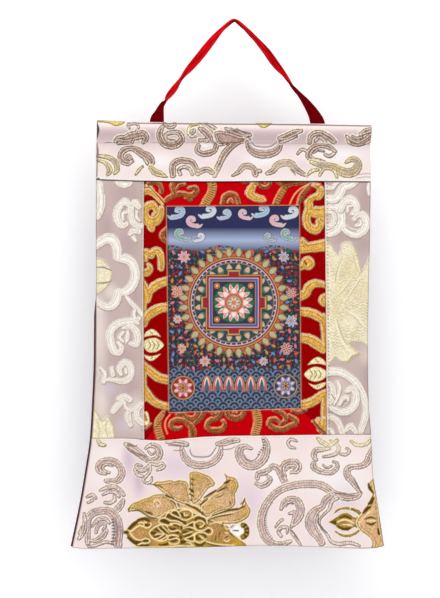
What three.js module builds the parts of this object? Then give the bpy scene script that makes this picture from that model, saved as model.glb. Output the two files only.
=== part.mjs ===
// Small thangka scroll painting: a picture in a mitred red brocade frame, mounted in ivory brocade,
// backed with a maroon lining and hung from a red satin ribbon.
// Millimetres, +X right, the front faces -Y, +Z up, the origin at the peak of the ribbon, where it hangs.
// "down" is the distance below that peak.
import * as THREE from "three";

// Driving sizes
const SEAM_GAP = 0.36; // between two cloths that meet at a seam
const MITRE_SHIFT = 0.26; // half that gap, measured level across a slanting mitre
const LAYER_GAP = 0.35; // between the lining and the cloths on it
const LINING_BACK = 4.0; // depth of the lining's back face
const LINING_THICK = 1.0;
const PICTURE_THICK = 1.0;
const FRAME_THICK = 1.1;
const SIDE_THICK = 1.2;
const MOUNT_THICK = 1.4; // heading and bottom panel
const CLOTH_BACK = LINING_BACK - LINING_THICK - LAYER_GAP; // back face of every cloth on the lining

const SLEEVE_TAIL = 8; // the sleeve's back layer runs this far below its stitch line
const SLEEVE_LEAF_GAP = 0.35; // between the heading's two layers at the stitch line
const SLEEVE_END_DIP = 2.2; // how far the sleeve's open left end is pulled in

const RIBBON_WIDTH = 15.5;
const RIBBON_THICK = 1.0;
const RIBBON_STEPS = 84;

const LINING_PROUD = 1.4; // lining shown past the lower left edge
const LINING_HIDDEN = 0.9; // lining kept back from the other edges
const LINING_UNDER_HEM = 0.6; // lining shown below the hem at the right
const LEFT_CURL = 2.6; // the lower left edge stands forward by this
const LEFT_CURL_WIDTH = 42;
const LEFT_CURL_START = 290;
const LEFT_CURL_RUN = 130;
const HEM_CURL_START = 438;
const HEM_CURL_RUN = 141;

// Outer edges, seams and the stitch line, each a line through a few measured points
const LEFT_EDGE = [
  { down: 113, x: -150 },
  { down: 163, x: -151 },
  { down: 370, x: -151.2 },
  { down: 420, x: -153 },
  { down: 461, x: -155.5 },
  { down: 490, x: -159.6 },
  { down: 530, x: -166.1 },
  { down: 577, x: -175.4 },
];
const RIGHT_EDGE = [
  { down: 118, x: 149.6 },
  { down: 140, x: 148.2 },
  { down: 165, x: 148.9 },
  { down: 230, x: 148.2 },
  { down: 300, x: 146.7 },
  { down: 366, x: 145.8 },
  { down: 424, x: 146.9 },
  { down: 457, x: 149.4 },
  { down: 500, x: 151.4 },
  { down: 525, x: 155.2 },
  { down: 576, x: 162.6 },
];
const TOP_EDGE = [
  { x: -150, down: 113 },
  { x: -108, down: 114.8 },
  { x: -40, down: 115.9 },
  { x: 55, down: 116.6 },
  { x: 150, down: 118 },
];
const STITCH_LINE = [
  { x: -150, down: 137.4 },
  { x: -60, down: 136.9 },
  { x: 40, down: 137.6 },
  { x: 150, down: 138.6 },
];
const HEADING_HEM = [
  { x: -151, down: 176.2 },
  { x: -98, down: 178.1 },
  { x: -20, down: 178.7 },
  { x: 60, down: 178.2 },
  { x: 149, down: 178.8 },
];
const LEFT_SEAM = [
  { down: 178, x: -99.3 },
  { down: 300, x: -99.8 },
  { down: 462, x: -98.9 },
];
const RIGHT_SEAM = [
  { down: 178, x: 99.2 },
  { down: 320, x: 100.6 },
  { down: 457, x: 101.7 },
];
const BOTTOM_SEAM = [
  { x: -155, down: 460.8 },
  { x: -118, down: 460.9 },
  { x: -81, down: 463.1 },
  { x: -44, down: 459.9 },
  { x: -3, down: 458.1 },
  { x: 44, down: 457.7 },
  { x: 100, down: 456.9 },
  { x: 150, down: 456.8 },
];
const BOTTOM_HEM = [
  { x: -175.4, down: 576.6 },
  { x: -160, down: 578.9 },
  { x: -92, down: 579.3 },
  { x: -40, down: 578.4 },
  { x: 36, down: 576.5 },
  { x: 110, down: 578.7 },
  { x: 150, down: 578.6 },
  { x: 162.6, down: 576.2 },
];
const PICTURE_CORNERS = {
  topLeft: { x: -74.3, down: 206.6 },
  topRight: { x: 71.2, down: 205.5 },
  bottomLeft: { x: -71.6, down: 432.2 },
  bottomRight: { x: 73.1, down: 427.6 },
};

// The bottom panel curls forward, most at its left corner: how far its hem stands out
const HEM_CURL = [
  { x: -175, forward: 13 },
  { x: -140, forward: 6.5 },
  { x: -90, forward: 3 },
  { x: -30, forward: 4 },
  { x: 40, forward: 4.4 },
  { x: 90, forward: 3.4 },
  { x: 130, forward: 5.5 },
  { x: 163, forward: 8 },
];

// Soft ridges where the brocade lifts off the lining; the slope is in degrees from level
const RIDGES = [
  { name: "left hem ridge", x: -146, down: 512, slope: 80, length: 130, width: 36, height: 2.0 },
  { name: "fold beside the lotus", x: -96, down: 500, slope: 108, length: 96, width: 30, height: 1.7 },
  { name: "middle hem swell", x: -12, down: 530, slope: 90, length: 110, width: 64, height: 1.5 },
  { name: "right hem ridge", x: 92, down: 520, slope: 84, length: 120, width: 40, height: 1.8 },
  { name: "right corner ridge", x: 134, down: 522, slope: 98, length: 110, width: 30, height: 1.4 },
  { name: "left panel swell", x: -128, down: 300, slope: 91, length: 200, width: 34, height: 0.9 },
  { name: "right panel swell", x: 124, down: 340, slope: 89, length: 210, width: 36, height: 0.9 },
  { name: "heading swell left", x: -84, down: 158, slope: 4, length: 110, width: 26, height: 0.9 },
  { name: "heading swell right", x: 62, down: 157, slope: -3, length: 130, width: 28, height: 1.0 },
  { name: "frame swell under picture", x: -30, down: 447, slope: 2, length: 90, width: 18, height: 0.6 },
];

// The sleeve stands off the back layer by this much along its length
const SLEEVE_DEPTH = [
  { x: -150, depth: 7.8 },
  { x: -95, depth: 9.2 },
  { x: -15, depth: 8.6 },
  { x: 50, depth: 9.4 },
  { x: 110, depth: 9.0 },
  { x: 150, depth: 8.2 },
];

// The sleeve's section from the stitch line round to the back layer: "out" is 0 on the front layer,
// 1 on the front of the bulge and -1 on the back layer; "up" is 1 at the top edge
const SLEEVE_SECTION = [
  { out: 0, up: 0 },
  { out: 0.42, up: 0.1 },
  { out: 0.8, up: 0.3 },
  { out: 1, up: 0.58 },
  { out: 0.84, up: 0.84 },
  { out: 0.44, up: 0.98 },
  { out: 0, up: 1 },
  { out: -0.72, up: 0.92 },
  { out: -1, up: 0.76 },
];

// The ribbon from its left tail over the peak to its right tail, down its middle. "turn" is 90 where
// it is seen edge on, less where its shiny side faces forward and 180 where its dull side does
const RIBBON_ROUTE = [
  { x: -84.7, down: 135, back: 5.25, turn: 180 },
  { x: -84.8, down: 117, back: 5.25, turn: 180 },
  { x: -84.3, down: 110, back: 5.0, turn: 168 },
  { x: -81.4, down: 101.5, back: 4.4, turn: 122 },
  { x: -78, down: 94, back: 4.0, turn: 101 },
  { x: -73.2, down: 87.6, back: 3.6, turn: 74 },
  { x: -65.2, down: 77.6, back: 3.2, turn: 63 },
  { x: -59.6, down: 68.4, back: 2.8, turn: 70 },
  { x: -50.4, down: 58, back: 2.4, turn: 57 },
  { x: -37.6, down: 43, back: 1.8, turn: 51 },
  { x: -24.5, down: 26.4, back: 1.2, turn: 55 },
  { x: -9.5, down: 9.6, back: 0.4, turn: 72 },
  { x: 0, down: 3.1, back: 0, turn: 75 },
  { x: 9.8, down: 10.2, back: 0.4, turn: 74 },
  { x: 22.8, down: 23.8, back: 1.2, turn: 69 },
  { x: 34.6, down: 37.2, back: 1.8, turn: 55 },
  { x: 45.6, down: 52.2, back: 2.4, turn: 53 },
  { x: 56.2, down: 64.6, back: 2.8, turn: 69 },
  { x: 66.4, down: 76, back: 3.3, turn: 84 },
  { x: 74.2, down: 86, back: 3.8, turn: 108 },
  { x: 82, down: 97, back: 4.3, turn: 124 },
  { x: 88, down: 107.6, back: 4.9, turn: 152 },
  { x: 91.8, down: 117, back: 5.25, turn: 180 },
  { x: 95, down: 135, back: 5.25, turn: 180 },
];

const { lerp, clamp, smoothstep, degToRad } = THREE.MathUtils;

// Smooth line through the rows of a table: the value in column "out" at a place in column "along"
function lineThrough(rows, along, out) {
  const slopeAt = (k) => {
    const before = rows[Math.max(k - 1, 0)];
    const after = rows[Math.min(k + 1, rows.length - 1)];
    return (after[out] - before[out]) / (after[along] - before[along]);
  };
  return (place) => {
    const at = clamp(place, rows[0][along], rows.at(-1)[along]);
    let k = 1;
    while (k < rows.length - 1 && at > rows[k][along]) k++;
    const start = rows[k - 1];
    const end = rows[k];
    const run = end[along] - start[along];
    const f = (at - start[along]) / run;
    const ease = f * f * (3 - 2 * f);
    const bend = run * f * (1 - f) * ((1 - f) * slopeAt(k - 1) - f * slopeAt(k));
    return lerp(start[out], end[out], ease) + bend;
  };
}

// Straight line between two corners, as x at a height or as height at an x, moved aside by a shift
const straightX = (a, b, shift = 0) => (down) =>
  a.x + ((b.x - a.x) * (down - a.down)) / (b.down - a.down) + shift;
const straightDown = (a, b, shift = 0) => (x) =>
  a.down + ((b.down - a.down) * (x - a.x)) / (b.x - a.x) + shift;

const leftEdge = lineThrough(LEFT_EDGE, "down", "x");
const rightEdge = lineThrough(RIGHT_EDGE, "down", "x");
const topEdge = lineThrough(TOP_EDGE, "x", "down");
const stitchLine = lineThrough(STITCH_LINE, "x", "down");
const headingHem = lineThrough(HEADING_HEM, "x", "down");
const leftSeam = lineThrough(LEFT_SEAM, "down", "x");
const rightSeam = lineThrough(RIGHT_SEAM, "down", "x");
const bottomSeam = lineThrough(BOTTOM_SEAM, "x", "down");
const bottomHem = lineThrough(BOTTOM_HEM, "x", "down");
const hemCurl = lineThrough(HEM_CURL, "x", "forward");
const sleeveDepth = lineThrough(SLEEVE_DEPTH, "x", "depth");

// How far the whole hanging, lining included, stands forward of a flat sheet
function curl(x, down) {
  const below = clamp((down - HEM_CURL_START) / HEM_CURL_RUN, 0, 1);
  const nearEdge = smoothstep(1 - (x - leftEdge(down)) / LEFT_CURL_WIDTH, 0, 1);
  const lowEnough = smoothstep((down - LEFT_CURL_START) / LEFT_CURL_RUN, 0, 1);
  return hemCurl(x) * below * below + LEFT_CURL * nearEdge * lowEnough;
}

// How far the brocade stands forward, with the ridges that lift it off the lining
function drape(x, down) {
  const bump = (f) => (Math.abs(f) < 1 ? (1 - f * f) ** 2 : 0);
  let forward = curl(x, down);
  for (const ridge of RIDGES) {
    const slope = degToRad(ridge.slope);
    const right = x - ridge.x;
    const up = ridge.down - down;
    const along = right * Math.cos(slope) + up * Math.sin(slope);
    const across = up * Math.cos(slope) - right * Math.sin(slope);
    forward += ridge.height * bump(along / (ridge.length / 2)) * bump(across / (ridge.width / 2));
  }
  return forward;
}

// Closed sheet over a grid: place(i, j) gives the outer and the inner point. Outer faces outward
// where i runs to the right and j runs up
function closedSheet(columns, rows, place) {
  const positions = [];
  for (const side of [0, 1])
    for (let j = 0; j <= rows; j++)
      for (let i = 0; i <= columns; i++) positions.push(...place(i, j)[side].toArray());
  const at = (side, i, j) => (side * (rows + 1) + j) * (columns + 1) + i;
  const faces = [];
  const quad = (a, b, c, d) => faces.push(a, b, c, a, c, d);
  for (let j = 0; j < rows; j++)
    for (let i = 0; i < columns; i++) {
      quad(at(0, i, j), at(0, i + 1, j), at(0, i + 1, j + 1), at(0, i, j + 1));
      quad(at(1, i, j), at(1, i, j + 1), at(1, i + 1, j + 1), at(1, i + 1, j));
    }
  for (let i = 0; i < columns; i++) {
    quad(at(0, i, 0), at(1, i, 0), at(1, i + 1, 0), at(0, i + 1, 0));
    quad(at(0, i, rows), at(0, i + 1, rows), at(1, i + 1, rows), at(1, i, rows));
  }
  for (let j = 0; j < rows; j++) {
    quad(at(0, 0, j), at(0, 0, j + 1), at(1, 0, j + 1), at(1, 0, j));
    quad(at(0, columns, j), at(1, columns, j), at(1, columns, j + 1), at(0, columns, j + 1));
  }
  const geometry = new THREE.BufferGeometry();
  geometry.setAttribute("position", new THREE.Float32BufferAttribute(positions, 3));
  geometry.setIndex(faces);
  geometry.computeVertexNormals();
  return geometry;
}

// The point of a panel at fractions u across and v up, between its four edges
function panelSpot(edges, u, v) {
  let down = (edges.top(0) + edges.bottom(0)) / 2;
  let x = 0;
  for (let pass = 0; pass < 12; pass++) {
    x = lerp(edges.left(down), edges.right(down), u);
    down = lerp(edges.bottom(x), edges.top(x), v);
  }
  return { x, down };
}

// Fractions from a start to an end in even steps, without the end
const evenly = (start, end, steps) => Array.from({ length: steps }, (_, k) => lerp(start, end, k / steps));

// Panel between four edges, of one thickness, with its back face at a depth and a hang of its own.
// Columns and rows are fractions from the left edge and from the bottom edge
function panelGeometry(edges, columns, rows, back, thick, hang) {
  return closedSheet(columns.length - 1, rows.length - 1, (i, j) => {
    const { x, down } = panelSpot(edges, columns[i], rows[j]);
    const y = back - hang(x, down);
    return [new THREE.Vector3(x, y - thick, -down), new THREE.Vector3(x, y, -down)];
  });
}

const thangka = new THREE.Group();

function addCloth(name, geometry, color, roughness) {
  const material = new THREE.MeshStandardMaterial({ color, roughness, metalness: 0 });
  const mesh = new THREE.Mesh(geometry, material);
  mesh.name = name;
  thangka.add(mesh);
}

const offset = (edge, amount) => (at) => edge(at) + amount;
const half = SEAM_GAP / 2;

// Picture, bare edged, held by the frame round it
const { topLeft, topRight, bottomLeft, bottomRight } = PICTURE_CORNERS;
const pictureEdges = {
  left: straightX(topLeft, bottomLeft, half),
  right: straightX(topRight, bottomRight, -half),
  top: straightDown(topLeft, topRight, half),
  bottom: straightDown(bottomLeft, bottomRight, -half),
};
const pictureColumns = [...evenly(0, 1, 10), 1];
const pictureRows = [...evenly(0, 1, 14), 1];
const pictureGeometry = panelGeometry(
  pictureEdges,
  pictureColumns,
  pictureRows,
  CLOTH_BACK,
  PICTURE_THICK,
  drape,
);
addCloth("picture_panel", pictureGeometry, 0x3f4f63, 0.6);

// Red brocade frame: four strips, mitred at the corners
const cornerOf = (seam, edge, down) => ({ x: seam(down), down: edge(seam(down)) });
const outerTopLeft = cornerOf(leftSeam, headingHem, 178);
const outerTopRight = cornerOf(rightSeam, headingHem, 178);
const outerBottomLeft = cornerOf(leftSeam, bottomSeam, 461);
const outerBottomRight = cornerOf(rightSeam, bottomSeam, 457);
const frameStrips = [
  {
    name: "frame_top",
    columns: 16,
    rows: 3,
    left: straightX(outerTopLeft, topLeft, MITRE_SHIFT),
    right: straightX(outerTopRight, topRight, -MITRE_SHIFT),
    top: offset(headingHem, half),
    bottom: straightDown(topLeft, topRight, -half),
  },
  {
    name: "frame_bottom",
    columns: 16,
    rows: 3,
    left: straightX(outerBottomLeft, bottomLeft, MITRE_SHIFT),
    right: straightX(outerBottomRight, bottomRight, -MITRE_SHIFT),
    top: straightDown(bottomLeft, bottomRight, half),
    bottom: offset(bottomSeam, -half),
  },
  {
    name: "frame_left",
    columns: 3,
    rows: 20,
    left: offset(leftSeam, half),
    right: straightX(topLeft, bottomLeft, -half),
    top: straightDown(outerTopLeft, topLeft, MITRE_SHIFT),
    bottom: straightDown(outerBottomLeft, bottomLeft, -MITRE_SHIFT),
  },
  {
    name: "frame_right",
    columns: 3,
    rows: 20,
    left: straightX(topRight, bottomRight, half),
    right: offset(rightSeam, -half),
    top: straightDown(outerTopRight, topRight, MITRE_SHIFT),
    bottom: straightDown(outerBottomRight, bottomRight, -MITRE_SHIFT),
  },
];
for (const strip of frameStrips) {
  const columns = [...evenly(0, 1, strip.columns), 1];
  const rows = [...evenly(0, 1, strip.rows), 1];
  const geometry = panelGeometry(strip, columns, rows, CLOTH_BACK, FRAME_THICK, drape);
  addCloth(strip.name, geometry, 0xc01018, 0.45);
}

// Side panels of mauve brocade, between the heading and the bottom panel
const sidePanels = [
  { name: "left_panel", left: leftEdge, right: offset(leftSeam, -half) },
  { name: "right_panel", left: offset(rightSeam, half), right: rightEdge },
];
for (const { name, left, right } of sidePanels) {
  const edges = { left, right, top: offset(headingHem, half), bottom: offset(bottomSeam, -half) };
  const columns = [...evenly(0, 1, 6), 1];
  const rows = [...evenly(0, 1, 26), 1];
  addCloth(name, panelGeometry(edges, columns, rows, CLOTH_BACK, SIDE_THICK, drape), 0xcfc0c2, 0.5);
}

// Bottom panel of ivory brocade, cut wider at the hem
const bottomEdges = {
  left: leftEdge,
  right: rightEdge,
  top: offset(bottomSeam, half),
  bottom: bottomHem,
};
const bottomColumns = [...evenly(0, 1, 36), 1];
const bottomRows = [...evenly(0, 1, 12), 1];
const bottomGeometry = panelGeometry(
  bottomEdges,
  bottomColumns,
  bottomRows,
  CLOTH_BACK,
  MOUNT_THICK,
  drape,
);
addCloth("bottom_panel", bottomGeometry, 0xeee4e6, 0.45);

// Heading of ivory brocade: one sheet that runs up the front, round an open sleeve for a rod and
// down the back to a short tail under the stitch line
const HEADING_COLUMNS = 26;
const FLAT_STEPS = 4;
const ROUND_STEPS = 14;
const BACK_STEPS = 2;
const TAIL_STEPS = 1;
const headingFront = CLOTH_BACK - MOUNT_THICK / 2;
const headingBack = CLOTH_BACK + SLEEVE_LEAF_GAP + MOUNT_THICK / 2;
const sleeveRound = new THREE.CatmullRomCurve3(
  SLEEVE_SECTION.map(({ out, up }) => new THREE.Vector3(out, up, 0)),
);

// Middle of the folded sheet at one x, as points with y and z, from the hem round to the tail
function headingPath(x) {
  const path = [];
  const hem = headingHem(x);
  const stitch = stitchLine(x);
  const height = stitch - topEdge(x) - MOUNT_THICK / 2;
  for (let k = 0; k < FLAT_STEPS; k++) {
    const down = lerp(hem, stitch, k / FLAT_STEPS);
    path.push(new THREE.Vector2(headingFront - drape(x, down), -down));
  }
  for (let k = 0; k <= ROUND_STEPS; k++) {
    const { x: out, y: up } = sleeveRound.getPointAt(k / ROUND_STEPS);
    const y = out > 0 ? headingFront - out * sleeveDepth(x) : lerp(headingFront, headingBack, -out);
    path.push(new THREE.Vector2(y, up * height - stitch));
  }
  const backTop = path.at(-1).y;
  for (let k = 1; k <= BACK_STEPS; k++)
    path.push(new THREE.Vector2(headingBack, lerp(backTop, -stitch, k / BACK_STEPS)));
  for (let k = 1; k <= TAIL_STEPS; k++)
    path.push(new THREE.Vector2(headingBack, -stitch - (SLEEVE_TAIL * k) / TAIL_STEPS));
  return path;
}

const headingRows = FLAT_STEPS + ROUND_STEPS + BACK_STEPS + TAIL_STEPS;
const headingGeometry = closedSheet(HEADING_COLUMNS, headingRows, (i, j) => {
  const u = i / HEADING_COLUMNS;
  const roundPart = clamp((j - FLAT_STEPS) / (ROUND_STEPS - 2), 0, 1);
  const dip = SLEEVE_END_DIP * Math.sin(Math.PI * roundPart) ** 2;
  const middle = headingPath(lerp(leftEdge(150), rightEdge(150), u))[j];
  const x = lerp(leftEdge(-middle.y) + dip, rightEdge(-middle.y), u);
  const path = headingPath(x);
  const tangent = path[Math.min(j + 1, headingRows)].clone().sub(path[Math.max(j - 1, 0)]).normalize();
  const reach = MOUNT_THICK / 2;
  const outward = new THREE.Vector3(0, -tangent.y * reach, tangent.x * reach);
  const spot = new THREE.Vector3(x, path[j].x, path[j].y);
  return [spot.clone().add(outward), spot.clone().sub(outward)];
});
addCloth("heading", headingGeometry, 0xeee4e6, 0.45);

// Maroon lining behind everything below the sleeve's tail, showing as a line at the lower left edge
// and under the hem at the right
const liningLeft = (down) =>
  leftEdge(down) + lerp(LINING_HIDDEN, -LINING_PROUD, smoothstep((down - 290) / 40, 0, 1));
const liningHem = (x) =>
  bottomHem(x) - lerp(LINING_HIDDEN, -LINING_UNDER_HEM, smoothstep((x - 96) / 20, 0, 1));
const liningEdges = {
  left: liningLeft,
  right: offset(rightEdge, -LINING_HIDDEN),
  top: (x) => stitchLine(x) + SLEEVE_TAIL + SEAM_GAP,
  bottom: liningHem,
};
const liningColumns = [...evenly(0, 0.16, 6), ...evenly(0.16, 1, 24), 1];
const liningRows = [...evenly(0, 0.34, 13), ...evenly(0.34, 1, 9), 1];
const liningGeometry = panelGeometry(
  liningEdges,
  liningColumns,
  liningRows,
  LINING_BACK,
  LINING_THICK,
  curl,
);
addCloth("lining", liningGeometry, 0x4a0f18, 0.8);

// Red satin ribbon: its tails are sewn to the back of the sleeve and it turns over at its peak
const ribbonRoute = new THREE.CatmullRomCurve3(
  RIBBON_ROUTE.map(({ x, back, down }) => new THREE.Vector3(x, back, -down)),
  false,
  "centripetal",
);
const BACKWARD = new THREE.Vector3(0, 1, 0);
const ribbonGeometry = closedSheet(2, RIBBON_STEPS, (i, j) => {
  const along = j / RIBBON_STEPS;
  const spot = ribbonRoute.getPointAt(along);
  const tangent = ribbonRoute.getTangentAt(along);
  const inTable = ribbonRoute.getUtoTmapping(along) * (RIBBON_ROUTE.length - 1);
  const row = Math.min(Math.floor(inTable), RIBBON_ROUTE.length - 2);
  const turn = degToRad(lerp(RIBBON_ROUTE[row].turn, RIBBON_ROUTE[row + 1].turn, inTable - row));
  const outOfLoop = new THREE.Vector3().crossVectors(tangent, BACKWARD).normalize();
  const across = outOfLoop.multiplyScalar(Math.cos(turn)).addScaledVector(BACKWARD, Math.sin(turn));
  across.addScaledVector(tangent, -across.dot(tangent)).normalize();
  const outward = new THREE.Vector3().crossVectors(across, tangent).multiplyScalar(RIBBON_THICK / 2);
  spot.addScaledVector(across, (i / 2 - 0.5) * RIBBON_WIDTH);
  return [spot.clone().add(outward), spot.clone().sub(outward)];
});
addCloth("ribbon", ribbonGeometry, 0xb00818, 0.3);

export default thangka;
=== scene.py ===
import math

import bmesh
import bpy
import numpy as np
from mathutils import Matrix, Vector


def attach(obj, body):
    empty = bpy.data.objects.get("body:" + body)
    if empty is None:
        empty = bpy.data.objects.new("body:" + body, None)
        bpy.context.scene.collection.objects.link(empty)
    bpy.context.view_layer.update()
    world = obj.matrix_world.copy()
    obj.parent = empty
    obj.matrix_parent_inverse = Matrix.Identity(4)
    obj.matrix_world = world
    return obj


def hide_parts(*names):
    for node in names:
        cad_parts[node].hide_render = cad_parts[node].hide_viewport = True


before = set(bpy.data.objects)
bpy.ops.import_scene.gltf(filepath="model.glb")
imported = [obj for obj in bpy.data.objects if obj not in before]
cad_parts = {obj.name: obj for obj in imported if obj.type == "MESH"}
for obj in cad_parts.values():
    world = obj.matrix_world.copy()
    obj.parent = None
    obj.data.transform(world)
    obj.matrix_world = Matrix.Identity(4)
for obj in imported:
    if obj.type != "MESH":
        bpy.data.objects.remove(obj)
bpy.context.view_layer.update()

MM = 0.001  # the tables below are in millimetres from the ribbon's peak: x to the right, "down" below it

# Lining
# A plain maroon cotton sheet behind the whole scroll, from just under the sleeve's tail to the hem.
# It is sewn to the brocade round its edges and was trimmed a little proud at the lower left and under
# the right of the hem, where it shows as a dark line.
LEFT_EDGE = (  # down, x
    (113, -150.0), (163, -151.0), (370, -151.2), (420, -153.0), (461, -155.5), (490, -159.6),
    (530, -166.1), (577, -175.4),
)
RIGHT_EDGE = (  # down, x
    (118, 149.6), (140, 148.2), (165, 148.9), (230, 148.2), (300, 146.7), (366, 145.8), (424, 146.9),
    (457, 149.4), (500, 151.4), (525, 155.2), (576, 162.6),
)
STITCH_LINE = ((-150, 137.4), (-60, 136.9), (40, 137.6), (150, 138.6))  # x, down
BOTTOM_HEM = (  # x, down
    (-175.4, 576.6), (-160, 578.9), (-92, 579.3), (-40, 578.4), (36, 576.5), (110, 578.7),
    (150, 578.6), (162.6, 576.2),
)
HEM_CURL = (  # x, how far the hem stands forward
    (-175, 13.0), (-140, 6.5), (-90, 3.0), (-30, 4.0), (40, 4.4), (90, 3.4), (130, 5.5), (163, 8.0),
)
HEM_CURL_START = 438
HEM_CURL_RUN = 141
LEFT_CURL = 2.6
LEFT_CURL_WIDTH = 42
LEFT_CURL_START = 290
LEFT_CURL_RUN = 130
SLEEVE_TAIL = 8
LINING_BACK = 4.0
LINING_THICK = 0.7
LINING_PROUD = 2.2
LINING_HIDDEN = 0.9
LINING_UNDER_HEM = 0.6
LINING_STEP_RUN = 40  # the left edge comes out from under the brocade over this height
LINING_TOP_GAP = 0.4
UNDER_HEM_X = 96  # from here to the right it shows under the hem
UNDER_HEM_RUN = 20
SLACK = 0.25  # faint waves where it is sewn: height, lengths across and down, and where they begin
SLACK_ACROSS = 23
SLACK_DOWN = 31
SLACK_START = 150
SLACK_RUN = 30
SETTLE_ROUNDS = 12  # enough for a point between four curved edges to come to rest


def line_through(rows):
    """A smooth line through (place, value) rows, as a function of the place."""
    at = np.array([row[0] for row in rows], float)
    out = np.array([row[1] for row in rows], float)
    before = np.maximum(np.arange(len(at)) - 1, 0)
    after = np.minimum(np.arange(len(at)) + 1, len(at) - 1)
    slope = (out[after] - out[before]) / (at[after] - at[before])

    def value(place):
        place = np.clip(place, at[0], at[-1])
        k = np.clip(np.searchsorted(at, place), 1, len(at) - 1)
        run = at[k] - at[k - 1]
        f = (place - at[k - 1]) / run
        ease = f * f * (3 - 2 * f)
        bend = run * f * (1 - f) * ((1 - f) * slope[k - 1] - f * slope[k])
        return out[k - 1] + (out[k] - out[k - 1]) * ease + bend

    return value


def smooth(f):
    """0 below 0, 1 above 1 and an even ease between them."""
    f = np.clip(f, 0, 1)
    return f * f * (3 - 2 * f)


left_edge = line_through(LEFT_EDGE)
right_edge = line_through(RIGHT_EDGE)
stitch_line = line_through(STITCH_LINE)
bottom_hem = line_through(BOTTOM_HEM)
hem_curl = line_through(HEM_CURL)


def curl(x, down):
    """How far the whole scroll stands forward of a flat sheet."""
    below = np.clip((down - HEM_CURL_START) / HEM_CURL_RUN, 0, 1)
    near_edge = smooth(1 - (x - left_edge(down)) / LEFT_CURL_WIDTH)
    low_enough = smooth((down - LEFT_CURL_START) / LEFT_CURL_RUN)
    return hem_curl(x) * below**2 + LEFT_CURL * near_edge * low_enough


def panel_spot(edges, u, v):
    """x and down at fractions u across and v up between four edges."""
    down = (edges["top"](0.0) + edges["bottom"](0.0)) / 2 + 0 * u
    for _ in range(SETTLE_ROUNDS):
        x = edges["left"](down) * (1 - u) + edges["right"](down) * u
        down = edges["bottom"](x) * (1 - v) + edges["top"](x) * v
    return x, down


def mesh_from(bm, name):
    """Mesh with the given name from a finished bmesh."""
    mesh = bpy.data.meshes.new(name)
    bm.to_mesh(mesh)
    bm.free()
    return mesh


def add_object(name, data):
    """New object in the scene, at the origin, unturned and unscaled."""
    piece = bpy.data.objects.new(name, data)
    bpy.context.scene.collection.objects.link(piece)
    return piece


def cut_cloth(name, fine, coarse):
    """Closed sheet one unit wide and high: fine cells in front and coarse ones behind, joined at the rim.
    Gives the mesh with each vertex's fractions across and up, and whether it is in front."""
    bm = bmesh.new()
    bmesh.ops.create_grid(bm, x_segments=fine[0], y_segments=fine[1], size=0.5)
    back = bmesh.ops.create_grid(
        bm, x_segments=coarse[0], y_segments=coarse[1], size=0.5, matrix=Matrix.Translation((0, 0, -1))
    )
    behind = set(back["verts"])
    bmesh.ops.reverse_faces(bm, faces=[face for face in bm.faces if face.verts[0] in behind])
    bmesh.ops.bridge_loops(bm, edges=[edge for edge in bm.edges if edge.is_boundary])
    mesh = mesh_from(bm, name)
    spots = np.empty(len(mesh.vertices) * 3)
    mesh.vertices.foreach_get("co", spots)
    spots = spots.reshape(-1, 3)
    return mesh, spots[:, 0] + 0.5, spots[:, 1] + 0.5, spots[:, 2] > -0.5


CLOTH_UV = 100.0  # millimetres of cloth to one unit of its UV map


def finish_cloth(mesh, points, cloth_u, cloth_v, material, colour=None, masks=()):
    """Put the mesh's points in place and give it its UV map, painted colour, masks and material."""
    mesh.vertices.foreach_set("co", (np.column_stack(points) * MM).ravel())
    corners = np.empty(len(mesh.loops), int)
    mesh.loops.foreach_get("vertex_index", corners)
    flat = np.column_stack((cloth_u, cloth_v))[corners] / CLOTH_UV
    mesh.uv_layers.new(name="cloth").data.foreach_set("uv", flat.ravel())
    if colour is not None:
        # the painted colour: woven or printed dye with painted light and shade laid into it
        layer = mesh.color_attributes.new(name="dye", type="FLOAT_COLOR", domain="POINT")
        layer.data.foreach_set("color", np.column_stack((colour, np.ones(len(colour)))).ravel())
    for mask_name, values in masks:
        mesh.attributes.new(mask_name, "FLOAT", "POINT").data.foreach_set("value", values)
    mesh.shade_smooth()
    mesh.materials.append(material)
    mesh.update()
    return add_object(mesh.name, mesh)


def linear(red, green, blue):
    """A colour given as 0 to 255 on screen, as the linear values that materials use."""
    parts = np.array((red, green, blue)) / 255
    return np.where(parts <= 0.04045, parts / 12.92, ((parts + 0.055) / 1.055) ** 2.4)


def paint(red, green, blue):
    """The same with an alpha of 1, for a colour socket."""
    return (*linear(red, green, blue), 1)


def new_group(name, inputs, outputs):
    """Shader node group with named sockets; each is (name, kind, default)."""
    group = bpy.data.node_groups.new(name, "ShaderNodeTree")
    for direction, sockets in (("INPUT", inputs), ("OUTPUT", outputs)):
        for socket_name, kind, default in sockets:
            socket = group.interface.new_socket(name=socket_name, in_out=direction, socket_type=kind)
            if default is not None:
                socket.default_value = default
    return group, group.nodes.new("NodeGroupInput"), group.nodes.new("NodeGroupOutput")


def math_node(tree, operation, *values):
    """Math node; each value is a number or a socket to link. Gives its output socket."""
    node = tree.nodes.new("ShaderNodeMath")
    node.operation = operation
    for socket, value in zip(node.inputs, values):
        if isinstance(value, (int, float)):
            socket.default_value = value
        else:
            tree.links.new(value, socket)
    return node.outputs[0]


def mix_colour(tree, amount, first, second, blend="MIX"):
    """Mix node for colours; each input is a socket or a value. Gives its result socket."""
    node = tree.nodes.new("ShaderNodeMix")
    node.data_type = "RGBA"
    node.blend_type = blend
    for socket, value in ((node.inputs[0], amount), (node.inputs[6], first), (node.inputs[7], second)):
        if isinstance(value, bpy.types.NodeSocket):
            tree.links.new(value, socket)
        else:
            socket.default_value = value
    return node.outputs[2]


FLOAT_WIDE = 2.0  # threads across and along one float of the figure's weft
FLOAT_LONG = 2.4
WEFT_SHARE = 0.6  # how much the crossings add to the height of the warp's ridges
THREAD_HEIGHT = 0.6
DYE_PATCHES = 90.0  # scale of the dye's unevenness
PATCH_SHARE = 0.5
RIDGE_SHARE = 0.3


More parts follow.
